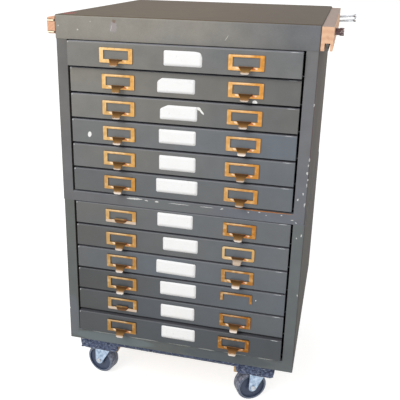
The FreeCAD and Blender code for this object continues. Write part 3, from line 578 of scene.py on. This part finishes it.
def rail_wood(name, pale, dark, weathered=None, ring=2.6, centre=(0, 0), contrast=1.0,
              burns=()):
    """Oiled softwood, planed: straight grain along the rail, rings at its sawn end, and dirt
    where hands and weather reach it. The burns are dark lines beside metal that is let in."""
    made, tree, shader, at = new_finish(name)
    trunk = add(tree, "Mapping", {"Location": (-centre[0] * MM, 0.0, -centre[1] * MM),
                                  "Scale": (1.0, 0.04, 1.0)}, {"Vector": at})
    rings = add(tree, "TexWave", {"wave_type": "RINGS", "rings_direction": "Y",
                                  "Scale": per(ring) / WAVE_BANDS, "Distortion": 3.0,
                                  "Detail": 3.0, "Detail Scale": 1.5}, {"Vector": trunk})
    fibre_at = add(tree, "Mapping", {"Scale": (1.0, 0.02, 1.0)}, {"Vector": at})
    fibre = add(tree, "TexNoise", {"Scale": per(0.7), "Detail": 3.0}, {"Vector": fibre_at})
    grain = add(tree, "Math", {"operation": "MULTIPLY"}, {0: rings.outputs["Fac"], 1: fibre})
    grain = add(tree, "Math", {"operation": "MULTIPLY", 1: contrast}, {0: grain})
    tone = add(tree, "Mix", BLEND, {"Factor": grain, "A": colour(pale), "B": colour(dark)})
    stains = add(tree, "TexNoise", {"Scale": per(14), "Detail": 4.0}, {"Vector": at})
    tone = stained(tree, tone, stains, 0.55, 0.75, 0.5, "#A9744F")
    if weathered:
        facing = add(tree, "SeparateXYZ", {},
                     {"Vector": add(tree, "NewGeometry").outputs["Normal"]})
        tone = stained(tree, tone, facing.outputs["Z"], 0.5, 0.9, 0.85, weathered)
    if burns:
        burnt = mark_mask(tree, at, burns, 0.3)
        tone = add(tree, "Mix", BLEND, {"Factor": burnt, "A": tone, "B": colour("#5B4234")})
    dull = add(tree, "MapRange", {"To Min": 0.5, "To Max": 0.75}, {"Value": fibre})
    pores = add(tree, "Bump", {"Strength": 0.3, "Distance": 0.0003}, {"Height": fibre})
    join(tree, shader, colour=tone, roughness=dull, normal=pores)
    return made


def pile_carpet():
    """Short cut-pile automotive carpet, navy with flecks of lint: dull, dark in its hollows and
    catching a soft edge of light on the fibre tips."""
    made, tree, shader, at = new_finish("navy pile carpet")
    shader.inputs["Roughness"].default_value = 0.95
    shader.inputs["Sheen Weight"].default_value = 0.35
    shader.inputs["Sheen Roughness"].default_value = 0.5
    shader.inputs["Specular IOR Level"].default_value = 0.15
    tufts = add(tree, "TexNoise", {"Scale": per(2.0), "Detail": 3.0, "Roughness": 0.7},
                {"Vector": at})
    nap = add(tree, "TexNoise", {"Scale": per(22), "Detail": 3.0}, {"Vector": at})
    clumps = add(tree, "TexNoise", {"Scale": per(4.6), "Detail": 4.0, "Roughness": 0.7},
                 {"Vector": at})
    tone = stained(tree, colour("#262C43"), clumps, 0.38, 0.64, 1.0, "#7583A3")
    tone = stained(tree, tone, nap, 0.4, 0.7, 0.35, "#566183")
    lint_at = add(tree, "Mapping", {"Rotation": (0.0, 0.5, 0.0), "Scale": (0.6, 1.0, 1.3)},
                  {"Vector": at})
    lint = add(tree, "TexNoise", {"Scale": per(4.0), "Detail": 1.0}, {"Vector": lint_at})
    tone = stained(tree, tone, lint, 0.62, 0.68, 0.7, "#B6BCCA")
    relief = add(tree, "Bump", {"Strength": 0.9, "Distance": 0.0012}, {"Height": tufts})
    join(tree, shader, colour=tone, normal=relief)
    return made


def label_paper():
    """Gummed label stock, uncoated: bright white and matt, a little yellowed and scuffed."""
    made, tree, shader, at = new_finish("gummed paper")
    age = add(tree, "TexNoise", {"Scale": per(18), "Detail": 4.0}, {"Vector": at})
    tone = stained(tree, colour("#FFFFFF"), age, 0.5, 0.8, 0.3, "#F8F6F0")
    smudges = add(tree, "TexNoise", {"Scale": per(6), "Detail": 3.0}, {"Vector": at})
    tone = stained(tree, tone, smudges, 0.62, 0.78, 0.2, "#B9BABC")
    fibres = add(tree, "TexNoise", {"Scale": per(0.6), "Detail": 2.0}, {"Vector": at})
    matt = add(tree, "MapRange", {"To Min": 0.7, "To Max": 0.9}, {"Value": age})
    felt = add(tree, "Bump", {"Strength": 0.1, "Distance": 0.0001}, {"Height": fibres})
    join(tree, shader, colour=tone, roughness=matt, normal=felt)
    return made


def wheel_rubber(corner):
    """Hard moulded rubber, slate grey: satin on its faces, with a painted highlight ring near the
    rim, and the tread rubbed dull and dusty.
    """
    made, tree, shader, at = new_finish(f"hard rubber {corner}")
    low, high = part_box(f"wheel_{corner}")
    middle = (low + high) / 2
    radius = (high.z - low.z) / 2
    own = add(tree, "VectorMath", {"operation": "SUBTRACT", 1: middle}, {0: at})
    away = add(tree, "VectorMath", {"operation": "LENGTH"}, {0: own})
    scuffs = add(tree, "TexNoise", {"Scale": per(5), "Detail": 5.0}, {"Vector": at})
    tone = add(tree, "Mix", BLEND,
               {"Factor": scuffs, "A": colour("#303B4F"), "B": colour("#4B5771")})
    rim = add(tree, "MapRange", {"From Min": radius * 0.99, "From Max": radius * 1.01},
              {"Value": away})
    dusty = add(tree, "MapRange", {"From Min": 0.3, "From Max": 0.62}, {"Value": scuffs})
    share = add(tree, "Math", {"operation": "MULTIPLY"}, {0: rim, 1: dusty})
    tone = add(tree, "Mix", BLEND, {"Factor": share, "A": tone, "B": colour("#9A9EAE")})
    # Painted highlight: a pale ring on each face near its rim
    shoulder = add(tree, "Math", {"operation": "COMPARE", 1: radius * 0.955, 2: 0.0005}, {0: away})
    worn = add(tree, "Math", {"operation": "MULTIPLY", 1: 0.6}, {0: shoulder})
    tone = add(tree, "Mix", BLEND, {"Factor": worn, "A": tone, "B": colour("#A9B2C2")})
    dull = add(tree, "MapRange", {"To Min": 0.4, "To Max": 0.65}, {"Value": scuffs})
    marks = add(tree, "Bump", {"Strength": 0.3, "Distance": 0.0004}, {"Height": scuffs})
    join(tree, shader, colour=tone, roughness=dull, normal=marks)
    return made


def knob_plastic():
    """Dark phenolic plastic, moulded: red-brown with a worn satin skin and pale chips."""
    made, tree, shader, at = new_finish("phenolic plastic")
    low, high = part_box("knob")
    place = add(tree, "SeparateXYZ", {}, {"Vector": at})
    swirl = add(tree, "TexNoise", {"Scale": per(4), "Detail": 4.0, "Distortion": 1.0},
                {"Vector": at})
    tone = add(tree, "Mix", BLEND,
               {"Factor": swirl, "A": colour("#3A1A17"), "B": colour("#5E342E")})
    tone = stained(tree, tone, place.outputs["Z"], high.z - 0.003, low.z + 0.005, 0.75, "#75656C")
    chips = add(tree, "TexNoise", {"Scale": per(1.8), "Detail": 1.0}, {"Vector": at})
    outward = add(tree, "MapRange", {"From Min": high.x - 0.006, "From Max": high.x,
                                     "To Max": 0.14}, {"Value": place.outputs["X"]})
    chips = add(tree, "Math", {"operation": "ADD"}, {0: chips, 1: outward})
    tone = stained(tree, tone, chips, 0.62, 0.68, 1.0, "#D3C8C6")
    satin = add(tree, "MapRange", {"To Min": 0.3, "To Max": 0.5}, {"Value": swirl})
    join(tree, shader, colour=tone, roughness=satin)
    return made


# Pulls

PLATE_WIDTH, PLATE_HEIGHT, PLATE_PROUD = 60.0, 26.0, 2.2
PLATE_CORNER, SLIM_CORNER = 1.6, 4.0
SHEET = 1.0
SIDE_BORDER, SLIM_BORDER = 7.3, 5.0
TOP_BORDER, BOTTOM_BORDER = 4.1, 6.3
WINDOW_FLOOR = BOTTOM_BORDER - PLATE_HEIGHT / 2
ROOT_HALF, TIP_HALF, FLARE = 12.2, 7.25, 12.0
TIP_CORNER, STUB_CORNER = 3.0, 4.5
# Length of a tongue, and how steeply it hangs at its root and at its end
WHOLE_TONGUE, BROKEN_TONGUE = (18.5, 8, 86), (6.8, 22, 90)
# Length of a row of mesh on a tongue, and how late its bend comes: 1 is an even bend
TONGUE_STEP, TONGUE_BEND = 0.85, 1.9
# How far a tongue may lean to one side or droop, and a pull be askew, in millimetres and degrees
TONGUE_PLAY, PULL_TILT = 0.5, 0.35
BREAK_HEIGHT = -4.8
FOLD_RADIUS, SHARP_FOLD, EDGE_SOFTNESS = 0.7, 1.2, 0.18
# An edge of the plate is part of its rim within these of its sides and foot, and of its top
RIM_BAND, TOP_BAND = 1.0, 0.9
SLIM_PALENESS, MOST_PALENESS = 0.4, 0.15
# How deep a point lies in the bright parts: outside them, on a stub, and at most on the slim one
NOT_BRIGHT, STUB_BRIGHT, SLIM_BRIGHT = -5.0, 1.3, 1.1
# A lip is only on the part of a tongue that stands out farther than this
LIP_REACH = 8
# Pulls that aren't like the others: two lost their tongues, one its foot, and one is thinner
KINDS = {(7, "left"): "stub", (11, "left"): "stub", (10, "right"): "broken", (8, "right"): "slim"}
# Height of the bright lip at the tip of each tongue, worn and with a painted highlight, from drawer
# 1 down
LIPS = {"left": (1.5, 1.0, 2.4, 3.4, 2.4, 4.2, 0.0, 3.5, 4.0, 4.6, 0.0, 3.8),
        "right": (2.8, 2.4, 3.0, 4.4, 2.4, 2.4, 3.6, 8.0, 5.0, 0.0, 4.8, 4.0)}


def stamped_plate(bm, border, corner):
    """Front skin of the label holder: a plate with its window cut out and its corners rounded."""
    upright_sheet(bm, PLATE_WIDTH, PLATE_HEIGHT)
    bmesh.ops.translate(bm, verts=bm.verts, vec=(0, -PLATE_PROUD, 0))
    bmesh.ops.bevel(bm, geom=bm.verts[:], affect="VERTICES", offset=corner, segments=4,
                    profile=0.5, material=-1)
    inside = PLATE_WIDTH / 2 - border
    ceiling = PLATE_HEIGHT / 2 - TOP_BORDER
    for x in (-inside, -ROOT_HALF, ROOT_HALF, inside):
        cut(bm, (x, 0, 0), (1, 0, 0))
    for z in (WINDOW_FLOOR - SHEET, WINDOW_FLOOR, ceiling):
        cut(bm, (0, 0, z), (0, 0, 1))

    def opened(face):
        middle = face.calc_center_median()
        in_window = abs(middle.x) < inside and WINDOW_FLOOR < middle.z < ceiling
        return in_window or (abs(middle.x) < ROOT_HALF
                             and WINDOW_FLOOR - SHEET < middle.z < WINDOW_FLOOR)

    bmesh.ops.delete(bm, geom=[face for face in bm.faces if opened(face)], context="FACES")


def drawn_edge(bm, edges, rows, place):
    """Pulls a chain of edges through a list of rows, and puts each new row where it belongs."""
    for row in rows:
        result = bmesh.ops.extrude_edge_only(bm, edges=edges)["geom"]
        edges = [e for e in result if isinstance(e, bmesh.types.BMEdge)]
        for vert in {v for e in edges for v in e.verts}:
            place(vert, row)


def tongue_rows(shape, corner):
    """Rows of a tongue's underside as place, height and half width. It tapers from its root and
    bends over more and more until it hangs, with a rounded end."""
    length, start, end = shape
    count = round(length / TONGUE_STEP)
    step = length / count
    y, z = -PLATE_PROUD, WINDOW_FLOOR
    rows = []
    for i in range(count):
        gone = (i + 1) * step
        bent = ((gone - step / 2) / length) ** TONGUE_BEND
        turn = math.radians(start + (end - start) * bent)
        y -= step * math.cos(turn)
        z -= step * math.sin(turn)
        half = TIP_HALF + (ROOT_HALF - TIP_HALF) * max(0.0, 1 - gone / FLARE)
        rounded = max(0.0, corner - (length - gone))
        half -= corner - math.sqrt(max(0.0, corner ** 2 - rounded ** 2))
        rows.append((y + SHEET * math.sin(turn), z - SHEET * math.cos(turn), half))
    return rows


def rim_of(bm, open_below):
    """Edges of the plate that are folded back to the drawer: all but the top, where cards go in."""
    half_width, half_height = PLATE_WIDTH / 2, PLATE_HEIGHT / 2

    def folded(edge):
        middle = (edge.verts[0].co + edge.verts[1].co) / 2
        at_side = abs(middle.x) > half_width - RIM_BAND
        at_foot = middle.z < RIM_BAND - half_height and not open_below
        return (at_side or at_foot) and middle.z < half_height - TOP_BAND

    return [edge for edge in bm.edges if edge.is_boundary and folded(edge)]


def bend_tongue(bm, kind, wobble):
    """Bends the tongue out of the foot of the window, each one a little differently."""
    root = [e for e in bm.edges if e.is_boundary
            and all(abs(v.co.z - (WINDOW_FLOOR - SHEET)) < TOUCH and abs(v.co.x) < ROOT_HALF + 0.1
                    and v.co.y < -1 for v in e.verts)]
    twist, droop = [wobble.uniform(-TONGUE_PLAY, TONGUE_PLAY) for _ in range(2)]
    rows = (tongue_rows(BROKEN_TONGUE, STUB_CORNER) if kind == "stub"
            else tongue_rows(WHOLE_TONGUE, TIP_CORNER))

    def place(vert, row):
        y, z, half = row
        far = (-y - PLATE_PROUD) / WHOLE_TONGUE[0]
        vert.co = Vector((math.copysign(half, vert.co.x) + twist * far, y, z - droop * far))

    drawn_edge(bm, root, rows, place)


def lip_brightness(kind, lip, tip, point):
    """How deep a point lies in the bright parts, worn and with a painted highlight, in millimetres.
    """
    on_stub = point.z < WINDOW_FLOOR - 0.9 * SHEET and point.y > -PLATE_PROUD - 0.1
    if kind == "stub" and on_stub:
        return STUB_BRIGHT
    if lip > 0 and point.y < -LIP_REACH:
        depth = tip + lip - point.z
        return min(depth, SLIM_BRIGHT) if kind == "slim" else depth
    return NOT_BRIGHT


def pull_mesh(kind, lip, wobble):
    """Brass label holder in millimetres, facing -Y with its back at y = 0. Its attributes are the
    place on the holder in metres, how deep a point lies in its bright parts, and its paleness."""
    bm = bmesh.new()
    narrow = kind in ("slim", "broken")
    stamped_plate(bm, SLIM_BORDER if narrow else SIDE_BORDER,
                  SLIM_CORNER if kind == "slim" else PLATE_CORNER)
    if kind == "broken":
        cut(bm, (0, 0, BREAK_HEIGHT), (-0.02, 0, -1), drop=True)
    drawn_edge(bm, rim_of(bm, kind == "broken"), [0.0],
               lambda vert, row: setattr(vert.co, "y", row))
    if kind != "broken":
        bend_tongue(bm, kind, wobble)
    bmesh.ops.remove_doubles(bm, verts=bm.verts, dist=0.001)
    face_front(bm)
    folds = [e for e in bm.edges if len(e.link_faces) == 2 and e.calc_face_angle(0.0) > SHARP_FOLD]
    bmesh.ops.bevel(bm, geom=folds, affect="EDGES", offset=FOLD_RADIUS, segments=3, profile=0.5,
                    material=-1, clamp_overlap=True)
    own = bm.verts.layers.float_vector.new("own")
    bare = bm.verts.layers.float.new("bare")
    pale = bm.verts.layers.float.new("pale")
    tip = min(vert.co.z for vert in bm.verts)
    paleness = SLIM_PALENESS if kind == "slim" else wobble.uniform(0.0, MOST_PALENESS)
    for vert in bm.verts:
        vert[own] = vert.co * MM
        vert[pale] = paleness
        vert[bare] = lip_brightness(kind, lip, tip, vert.co) * MM
    return bm


def pulls(number, brass):
    """Two brass label holders with finger tongues, as worn or broken as they are on this drawer."""
    wobble = random.Random(100 + number)
    for side, hand in ((-1, "left"), (1, "right")):
        bm = pull_mesh(KINDS.get((number, hand), "full"), LIPS[hand][number - 1], wobble)
        tilt = math.radians(wobble.uniform(-PULL_TILT, PULL_TILT))
        bmesh.ops.rotate(bm, verts=bm.verts, cent=(0, 0, 0), matrix=Matrix.Rotation(tilt, 3, "Y"))
        onto_drawer(bm, number, side * PULL_SPACING / 2, 0)
        made = piece(f"pull_{number:02d}_{hand}", bm, [brass], f"drawer_{number:02d}")
        thicken(made, "sheet thickness", SHEET).use_even_offset = True
        soft = made.modifiers.new("softened cut edges", "BEVEL")
        soft.width = EDGE_SOFTNESS * MM
        soft.segments = 2
        soft.limit_method = "ANGLE"
        soft.angle_limit = math.radians(50)
        soft.harden_normals = True
        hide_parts(f"pulls_{number:02d}")


# Paper labels

# Place across and up from the middle of the drawer's front, width, height and lean
LABELS = {
    1: (5.5, 0.7, 66.4, 25.7, 0.0),
    2: (-8.1, -0.6, 67.1, 25.3, 0.0),
    3: (-3.0, -0.6, 66.8, 25.9, 0.0),
    4: (-4.7, 2.5, 67.2, 25.9, 0.0),
    5: (-4.0, 0.7, 67.3, 27.5, 0.0),
    6: (-4.4, 4.0, 77.1, 26.5, 0.0),
    7: (-7.8, 3.9, 67.5, 27.0, 0.0),
    8: (3.2, 2.6, 66.9, 26.6, 0.0),
    9: (-4.9, 0.6, 76.7, 27.9, 1.0),
    10: (0.0, 2.7, 70.8, 28.2, 0.0),
    11: (-0.3, 0.0, 67.2, 27.6, 0.0),
    12: (3.1, 3.6, 67.2, 26.2, 0.0),
}
# Trimmed corners: a point on the cut, from the label's middle, and the side that is cut away
TRIMS = {
    1: [((22.0, 12.6), (0.14, 1.0)), ((31.5, 8.0), (1.0, 0.45))],
    2: [((-30.0, 9.0), (-0.75, 1.0))],
    3: [((-26.0, 9.6), (-0.5, 1.0))],
}
LABEL_CORNER = 2.6
LABEL_COLUMNS, LABEL_ROWS = 12, 5
PAPER_THICKNESS, PAPER_GAP = 0.12, 0.16
# Waves of a label that isn't quite flat, and the corner of it that has come loose
WAVE_LENGTH, WAVE_HEIGHT = 17, 0.12
LOOSE_FROM, LOOSE_LIFT = 0.6, 1.6


def label(number, paper):
    """Gummed paper label with rounded corners, not quite flat on the enamel."""
    across, rise, width, height, lean = LABELS[number]
    wave = random.Random(number)
    bm = bmesh.new()
    upright_sheet(bm, width, height)
    for (x, z), (out_x, out_z) in TRIMS.get(number, ()):
        cut(bm, (x, 0, z), (out_x, 0, out_z), drop=True)
    bmesh.ops.bevel(bm, geom=bm.verts[:], affect="VERTICES", offset=LABEL_CORNER, segments=5,
                    profile=0.5, material=-1, clamp_overlap=True)
    for i in range(1, LABEL_COLUMNS):
        cut(bm, (width * (i / LABEL_COLUMNS - 0.5), 0, 0), (1, 0, 0))
    for i in range(1, LABEL_ROWS):
        cut(bm, (0, 0, height * (i / LABEL_ROWS - 0.5)), (0, 0, 1))
    corner = (wave.choice((-1, 1)), wave.choice((-1, 1)))
    for vert in bm.verts:
        x, _, z = vert.co
        ripple = abs(noise.noise(Vector((x / WAVE_LENGTH, number * 3.0, z / WAVE_LENGTH))))
        loose = max(0.0, corner[0] * x / width + corner[1] * z / height - LOOSE_FROM)
        vert.co.y = -PAPER_GAP - WAVE_HEIGHT * ripple - LOOSE_LIFT * loose
    bmesh.ops.rotate(bm, verts=bm.verts, cent=(0, 0, 0),
                     matrix=Matrix.Rotation(math.radians(lean), 3, "Y"))
    face_front(bm)
    onto_drawer(bm, number, across, rise)
    made = piece(f"label_{number:02d}", bm, [paper], f"drawer_{number:02d}")
    thicken(made, "paper thickness", PAPER_THICKNESS)


# Carpet on the dolly

CARPET_THICKNESS, PILE_HEIGHT, PILE_GRAIN = 3.6, 0.9, 4.0
# The mesh lies a little below the solid's top, so that its pile stays inside
TOP_ROOM = 0.15
CARPET_CELL, CARPET_ROW, MOST_ROWS = 5.8, 5.5, 8
# Widths of the flaps over the battens' ends, at the left and right sides
FLAP_WIDTHS = {-1: 81.0, 1: 74.0}
FLAP_CORNER, FRAYED, FRAY_LENGTH = 5.0, 3.4, 11
# Mesh farther than this from the fold or the hem is between them, and the last two rows are at
# least this far apart
PAST_FOLD, ROW_GAP = 3, 2
# Mesh farther than this below the top hangs, and this close it is at a side, or at an end
HANGING, NEAR_SIDE, NEAR_END = 0.5, 8, 2
# How far under the deck the folded edge lies, and the rows of mesh that it is folded back by
BELOW_DECK, FOLDED_BACK = 4.0, (3.0, 9.0, 9.0, 9.0)
# How far the hanging parts stand in and sway, and the left and right sides bulge over their fall
STAND_IN, SWAY, BULGE, BULGE_FALL = 0.5, 0.5, 2.6, 42
SWAY_LENGTH, SWAY_DROP = 31, 17


def hang_sides(bm, half_x, high, low, flaps, under):
    """Draws the edges of the flat carpet down all round, and the flaps lower than the rest."""
    levels = [high - CARPET_ROW * i for i in range(1, MOST_ROWS + 1)]
    for level in [z for z in levels if z > low + ROW_GAP] + [low]:
        def hangs(edge):
            middle = (edge.verts[0].co + edge.verts[1].co) / 2
            on_side = abs(abs(middle.x) - half_x) < TOUCH
            past_flap = abs(middle.x) > flaps[math.copysign(1, middle.x)]
            return on_side or past_flap or level > under - PAST_FOLD

        loose = [e for e in bm.edges if e.is_boundary and hangs(e)]
        drawn_edge(bm, loose, [level], lambda vert, row: setattr(vert.co, "z", row))


def fold_under(bm, half_y, low, under):
    """Folds the front and rear edges back under the deck, between the flaps."""
    fold = [e for e in bm.edges if e.is_boundary
            and all(v.co.z > low + PAST_FOLD for v in e.verts)
            and all(abs(abs(v.co.y) - half_y) < TOUCH for v in e.verts)
            and abs(e.verts[0].co.z - e.verts[1].co.z) < TOUCH]
    for vert in {v for e in fold for v in e.verts}:
        vert.co.z = under
    drawn_edge(bm, fold, FOLDED_BACK,
               lambda vert, row: setattr(vert.co, "y", vert.co.y - math.copysign(row, vert.co.y)))


def fray(vert, half_x, half_y, flaps):
    """Makes the cut edge of a flap uneven, and rounds its corners at the front and rear."""
    place = Vector((vert.co.x / FRAY_LENGTH, vert.co.y / FRAY_LENGTH, 0.3))
    vert.co.z += FRAYED * abs(noise.noise(place))
    from_end = min(abs(vert.co.x) - flaps[math.copysign(1, vert.co.x)], half_x - abs(vert.co.x))
    if abs(abs(vert.co.y) - half_y) < NEAR_END and from_end < FLAP_CORNER:
        inward = FLAP_CORNER - max(from_end, 0.0)
        vert.co.z += FLAP_CORNER - math.sqrt(max(0.0, FLAP_CORNER ** 2 - inward ** 2))


def sag(vert, half_x, half_y, top):
    """Lets a hanging part sway in and out, and bulge at the left and right sides."""
    sway = noise.noise(Vector((vert.co.x / SWAY_LENGTH, vert.co.y / SWAY_LENGTH,
                               vert.co.z / SWAY_DROP)))
    inward = Vector((vert.co.x / half_x, vert.co.y / half_y, 0))
    at_side = abs(vert.co.x) > half_x - NEAR_SIDE
    bulge = BULGE * at_side * math.sin(math.pi * (top - vert.co.z) / BULGE_FALL)
    vert.co -= inward * (STAND_IN + SWAY * sway - bulge)


def carpet_mesh():
    """Carpet in millimetres, open at its cut edges: the skin that its thickness goes on."""
    low, high = box_mm("dolly_carpet")
    under = box_mm("dolly_deck")[0].z - BELOW_DECK
    half_x, half_y = (high.x - low.x) / 2, (high.y - low.y) / 2
    flaps = {side: half_x - width for side, width in FLAP_WIDTHS.items()}
    bm = bmesh.new()
    bmesh.ops.create_grid(bm, x_segments=round(2 * half_x / CARPET_CELL),
                          y_segments=round(2 * half_y / CARPET_CELL), size=1)
    bmesh.ops.scale(bm, verts=bm.verts, vec=(half_x, half_y, 1))
    bmesh.ops.translate(bm, verts=bm.verts, vec=(0, 0, high.z - TOP_ROOM))
    hang_sides(bm, half_x, high.z, low.z, flaps, under)
    fold_under(bm, half_y, low.z, under)
    bmesh.ops.remove_doubles(bm, verts=bm.verts, dist=TOUCH)
    for _ in range(2):
        sides = [v for v in bm.verts if not v.is_boundary and v.co.z < high.z - HANGING]
        bmesh.ops.smooth_vert(bm, verts=sides, factor=0.35, use_axis_x=True, use_axis_y=True,
                              use_axis_z=False)
    for vert in bm.verts:
        if vert.is_boundary and vert.co.z < under - PAST_FOLD:
            fray(vert, half_x, half_y, flaps)
        if vert.co.z < high.z - HANGING:
            sag(vert, half_x, half_y, high.z)
    bmesh.ops.recalc_face_normals(bm, faces=bm.faces)
    middle = Vector(((low.x + high.x) / 2, (low.y + high.y) / 2, 0))
    bmesh.ops.translate(bm, verts=bm.verts, vec=middle)
    bmesh.ops.scale(bm, verts=bm.verts, vec=(MM, MM, MM))
    return bm


def carpet(cloth):
    """Carpet laid over the deck, down its four sides and folded under the front and rear edges,
    with longer flaps over the battens' ends."""
    made = piece("carpet_cover", carpet_mesh(), [cloth], "cabinet", sharp_above=180)
    thicken(made, "carpet thickness", CARPET_THICKNESS)
    tufts = bpy.data.textures.new("tufts", "CLOUDS")
    tufts.noise_scale = PILE_GRAIN * MM
    pile = made.modifiers.new("pile", "DISPLACE")
    pile.texture = tufts
    pile.texture_coords = "LOCAL"
    pile.strength = PILE_HEIGHT * MM
    pile.mid_level = 1.0
    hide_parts("dolly_carpet")


# Finishes of the solids that stay as they are

def dress(node, material):
    """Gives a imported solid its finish."""
    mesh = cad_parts[node].data
    mesh.materials.clear()
    mesh.materials.append(material)


def dress_carcass():
    """Enamels the carcass, the cap and the drawers, and gives the runners their worn steel."""
    enamels = worn_enamels()
    for section in ("upper", "lower"):
        for part in ("side_right", "side_left", "base", "back"):
            dress(f"{section}_{part}", enamels[section])
    dress("top_cap", enamels["cap"])
    runners = plated("worn runner steel", "#6E7274", "#54585A", 12, (0.4, 0.6))
    for section in ("upper", "lower"):
        dress(f"{section}_runners", runners)
    for number in DRAWERS:
        dress(f"drawer_{number:02d}", drawer_enamel(number))


def dress_rails():
    """Gives the rails on the cap their pine, greyed on the right and oiled on the left, and their
    strips and knob."""
    low, high = box_mm("rail_right")
    dress("rail_right", rail_wood("weathered pine rail", "#F3C6A3", "#D29573",
                                  weathered="#92847E", ring=5.2,
                                  centre=(low.x + 9, low.z - 26), contrast=0.75))
    low, high = box_mm("rail_left")
    beside_strips = marks_at((low.x + high.x) / 2, low.y, low.z, 3,
                             ((0, 2.8, 12, 2.5, 0), (0, 22.8, 12, 2.5, 0)))
    dress("rail_left", rail_wood("oiled pine rail", "#EAB592", "#CF8C68",
                                 centre=(high.x + 20, low.z - 15), contrast=0.6,
                                 burns=beside_strips))
    dress("rail_right_strip", plated("bare steel strip", "#6A6560", "#4A4540", 8, (0.4, 0.6)))
    dress("rail_left_strips", plated("dull brass strip", "#FBEFD6", "#E2CFA6", 8, (0.45, 0.6)))
    dress("knob", knob_plastic())


def dress_dolly(zinc):
    """Gives the dolly its boards, and its casters their zinc and rubber."""
    board = rail_wood("dolly boards", "#D9B98A", "#B98F5A", ring=3.4)
    dress("dolly_deck", board)
    dress("dolly_battens", board)
    caster = plated("bluish zinc plate", "#BACBDF", "#7C91A9", 7, (0.3, 0.5))
    dress("caster_plates", caster)
    for corner in CORNERS:
        dress(f"fork_{corner}", caster)
        dress(f"axle_{corner}", zinc)
        dress(f"wheel_{corner}", wheel_rubber(corner))


def dress_screws(zinc):
    """Gives the bolts and screws their bright zinc, and the pegs their polish."""
    for node in ("section_bolts", "rail_screws", "dolly_screws"):
        dress(node, zinc)
    dress("peg_bolts", plated("polished peg steel", "#D6D9DD", "#B4B7BC", 5, (0.4, 0.55)))


# Studio

# Brightness of the surroundings as light, and how far the floor is lifted where it is looked at
SKY_LIGHT, FLOOR_LIFT = 0.62, 0.74
FLOOR_HALF = 14.0
# Viewpoint of the photograph, from a fit to the cabinet's straight edges: its place, its turn
# about the upright axis, its tilt down and its roll in radians, its lens and sensor in
# millimetres, and the frame's shift
VIEW_PLACE = (0.24875, -1.25975, 0.86396)
VIEW_TURN, VIEW_TILT, VIEW_ROLL = 0.24401, 0.33652, 0.01879
VIEW_LENS, VIEW_SENSOR, VIEW_SHIFT = 56.634, 36.0, (0.0375, -0.0503)


def floor():
    """Pale floor that reads as white paper and keeps the cabinet's shadow."""
    bm = bmesh.new()
    bmesh.ops.create_grid(bm, x_segments=4, y_segments=4, size=FLOOR_HALF)
    mesh = bpy.data.meshes.new("floor")
    bm.to_mesh(mesh)
    bm.free()
    in_scene("floor", mesh)
    paper = bpy.data.materials.new("floor paper")
    tree = empty_tree(paper)
    matt = add(tree, "BsdfDiffuse", {"Color": colour("#CFCFCD")})
    lifted = add(tree, "Math", {"operation": "MULTIPLY", 1: FLOOR_LIFT}, {0: seen_share(tree)})
    glow = add(tree, "Emission", {}, {"Strength": lifted})
    both = add(tree, "AddShader", {}, {0: matt, 1: glow})
    add(tree, "OutputMaterial", {}, {"Surface": both})
    mesh.materials.append(paper)


def seen_share(tree):
    """1 for what the camera sees, straight, mirrored or through something clear, and else 0."""
    path = add(tree, "LightPath")
    share = add(tree, "Math", {"operation": "MAXIMUM"},
                {0: path.outputs["Is Camera Ray"], 1: path.outputs["Is Glossy Ray"]})
    return add(tree, "Math", {"operation": "MAXIMUM"},
               {0: share, 1: path.outputs["Is Transmission Ray"]})


def sky():
    """White surroundings, a little dimmer as light than as a background."""
    world = bpy.data.worlds.new("studio")
    bpy.context.scene.world = world
    tree = empty_tree(world)
    strength = add(tree, "MapRange", {"To Min": SKY_LIGHT, "To Max": 1.0},
                   {"Value": seen_share(tree)})
    white = add(tree, "Background", {"Color": (1, 1, 1, 1)}, {"Strength": strength})
    add(tree, "OutputWorld", {}, {"Surface": white})


def lamp(name, place, aim, size, power):
    """Square soft light at a place, turned towards a point."""
    data = bpy.data.lights.new(name, "AREA")
    data.size = size
    data.energy = power
    made = in_scene(name, data)
    made.location = place
    made.rotation_mode = "QUATERNION"
    made.rotation_quaternion = (Vector(aim) - Vector(place)).to_track_quat("-Z", "Y")


def camera():
    """The photograph's viewpoint."""
    data = bpy.data.cameras.new("camera")
    data.sensor_width = VIEW_SENSOR
    data.lens = VIEW_LENS
    data.shift_x, data.shift_y = VIEW_SHIFT
    made = in_scene("camera", data)
    turn = (Matrix.Rotation(VIEW_TURN, 4, "Z") @ Matrix.Rotation(math.pi / 2 - VIEW_TILT, 4, "X")
            @ Matrix.Rotation(VIEW_ROLL, 4, "Z"))
    made.matrix_world = Matrix.Translation(VIEW_PLACE) @ turn
    bpy.context.scene.camera = made


def studio():
    """Camera, floor, surroundings and one large soft lamp from the front left."""
    camera()
    floor()
    sky()
    lamp("key", place=(-0.9, -2.4, 2.3), aim=(0, 0, 0.5), size=1.8, power=46.0)
    bpy.context.scene.view_settings.view_transform = "Standard"


def main():
    studio()
    dress_carcass()
    dress_rails()
    zinc = plated("bright zinc plate", "#C9CDD2", "#A4A8AE", 5, (0.2, 0.4))
    dress_screws(zinc)
    dress_dolly(zinc)
    brass = pull_brass()
    paper = label_paper()
    for number in DRAWERS:
        pulls(number, brass)
        label(number, paper)
    carpet(pile_carpet())


main()
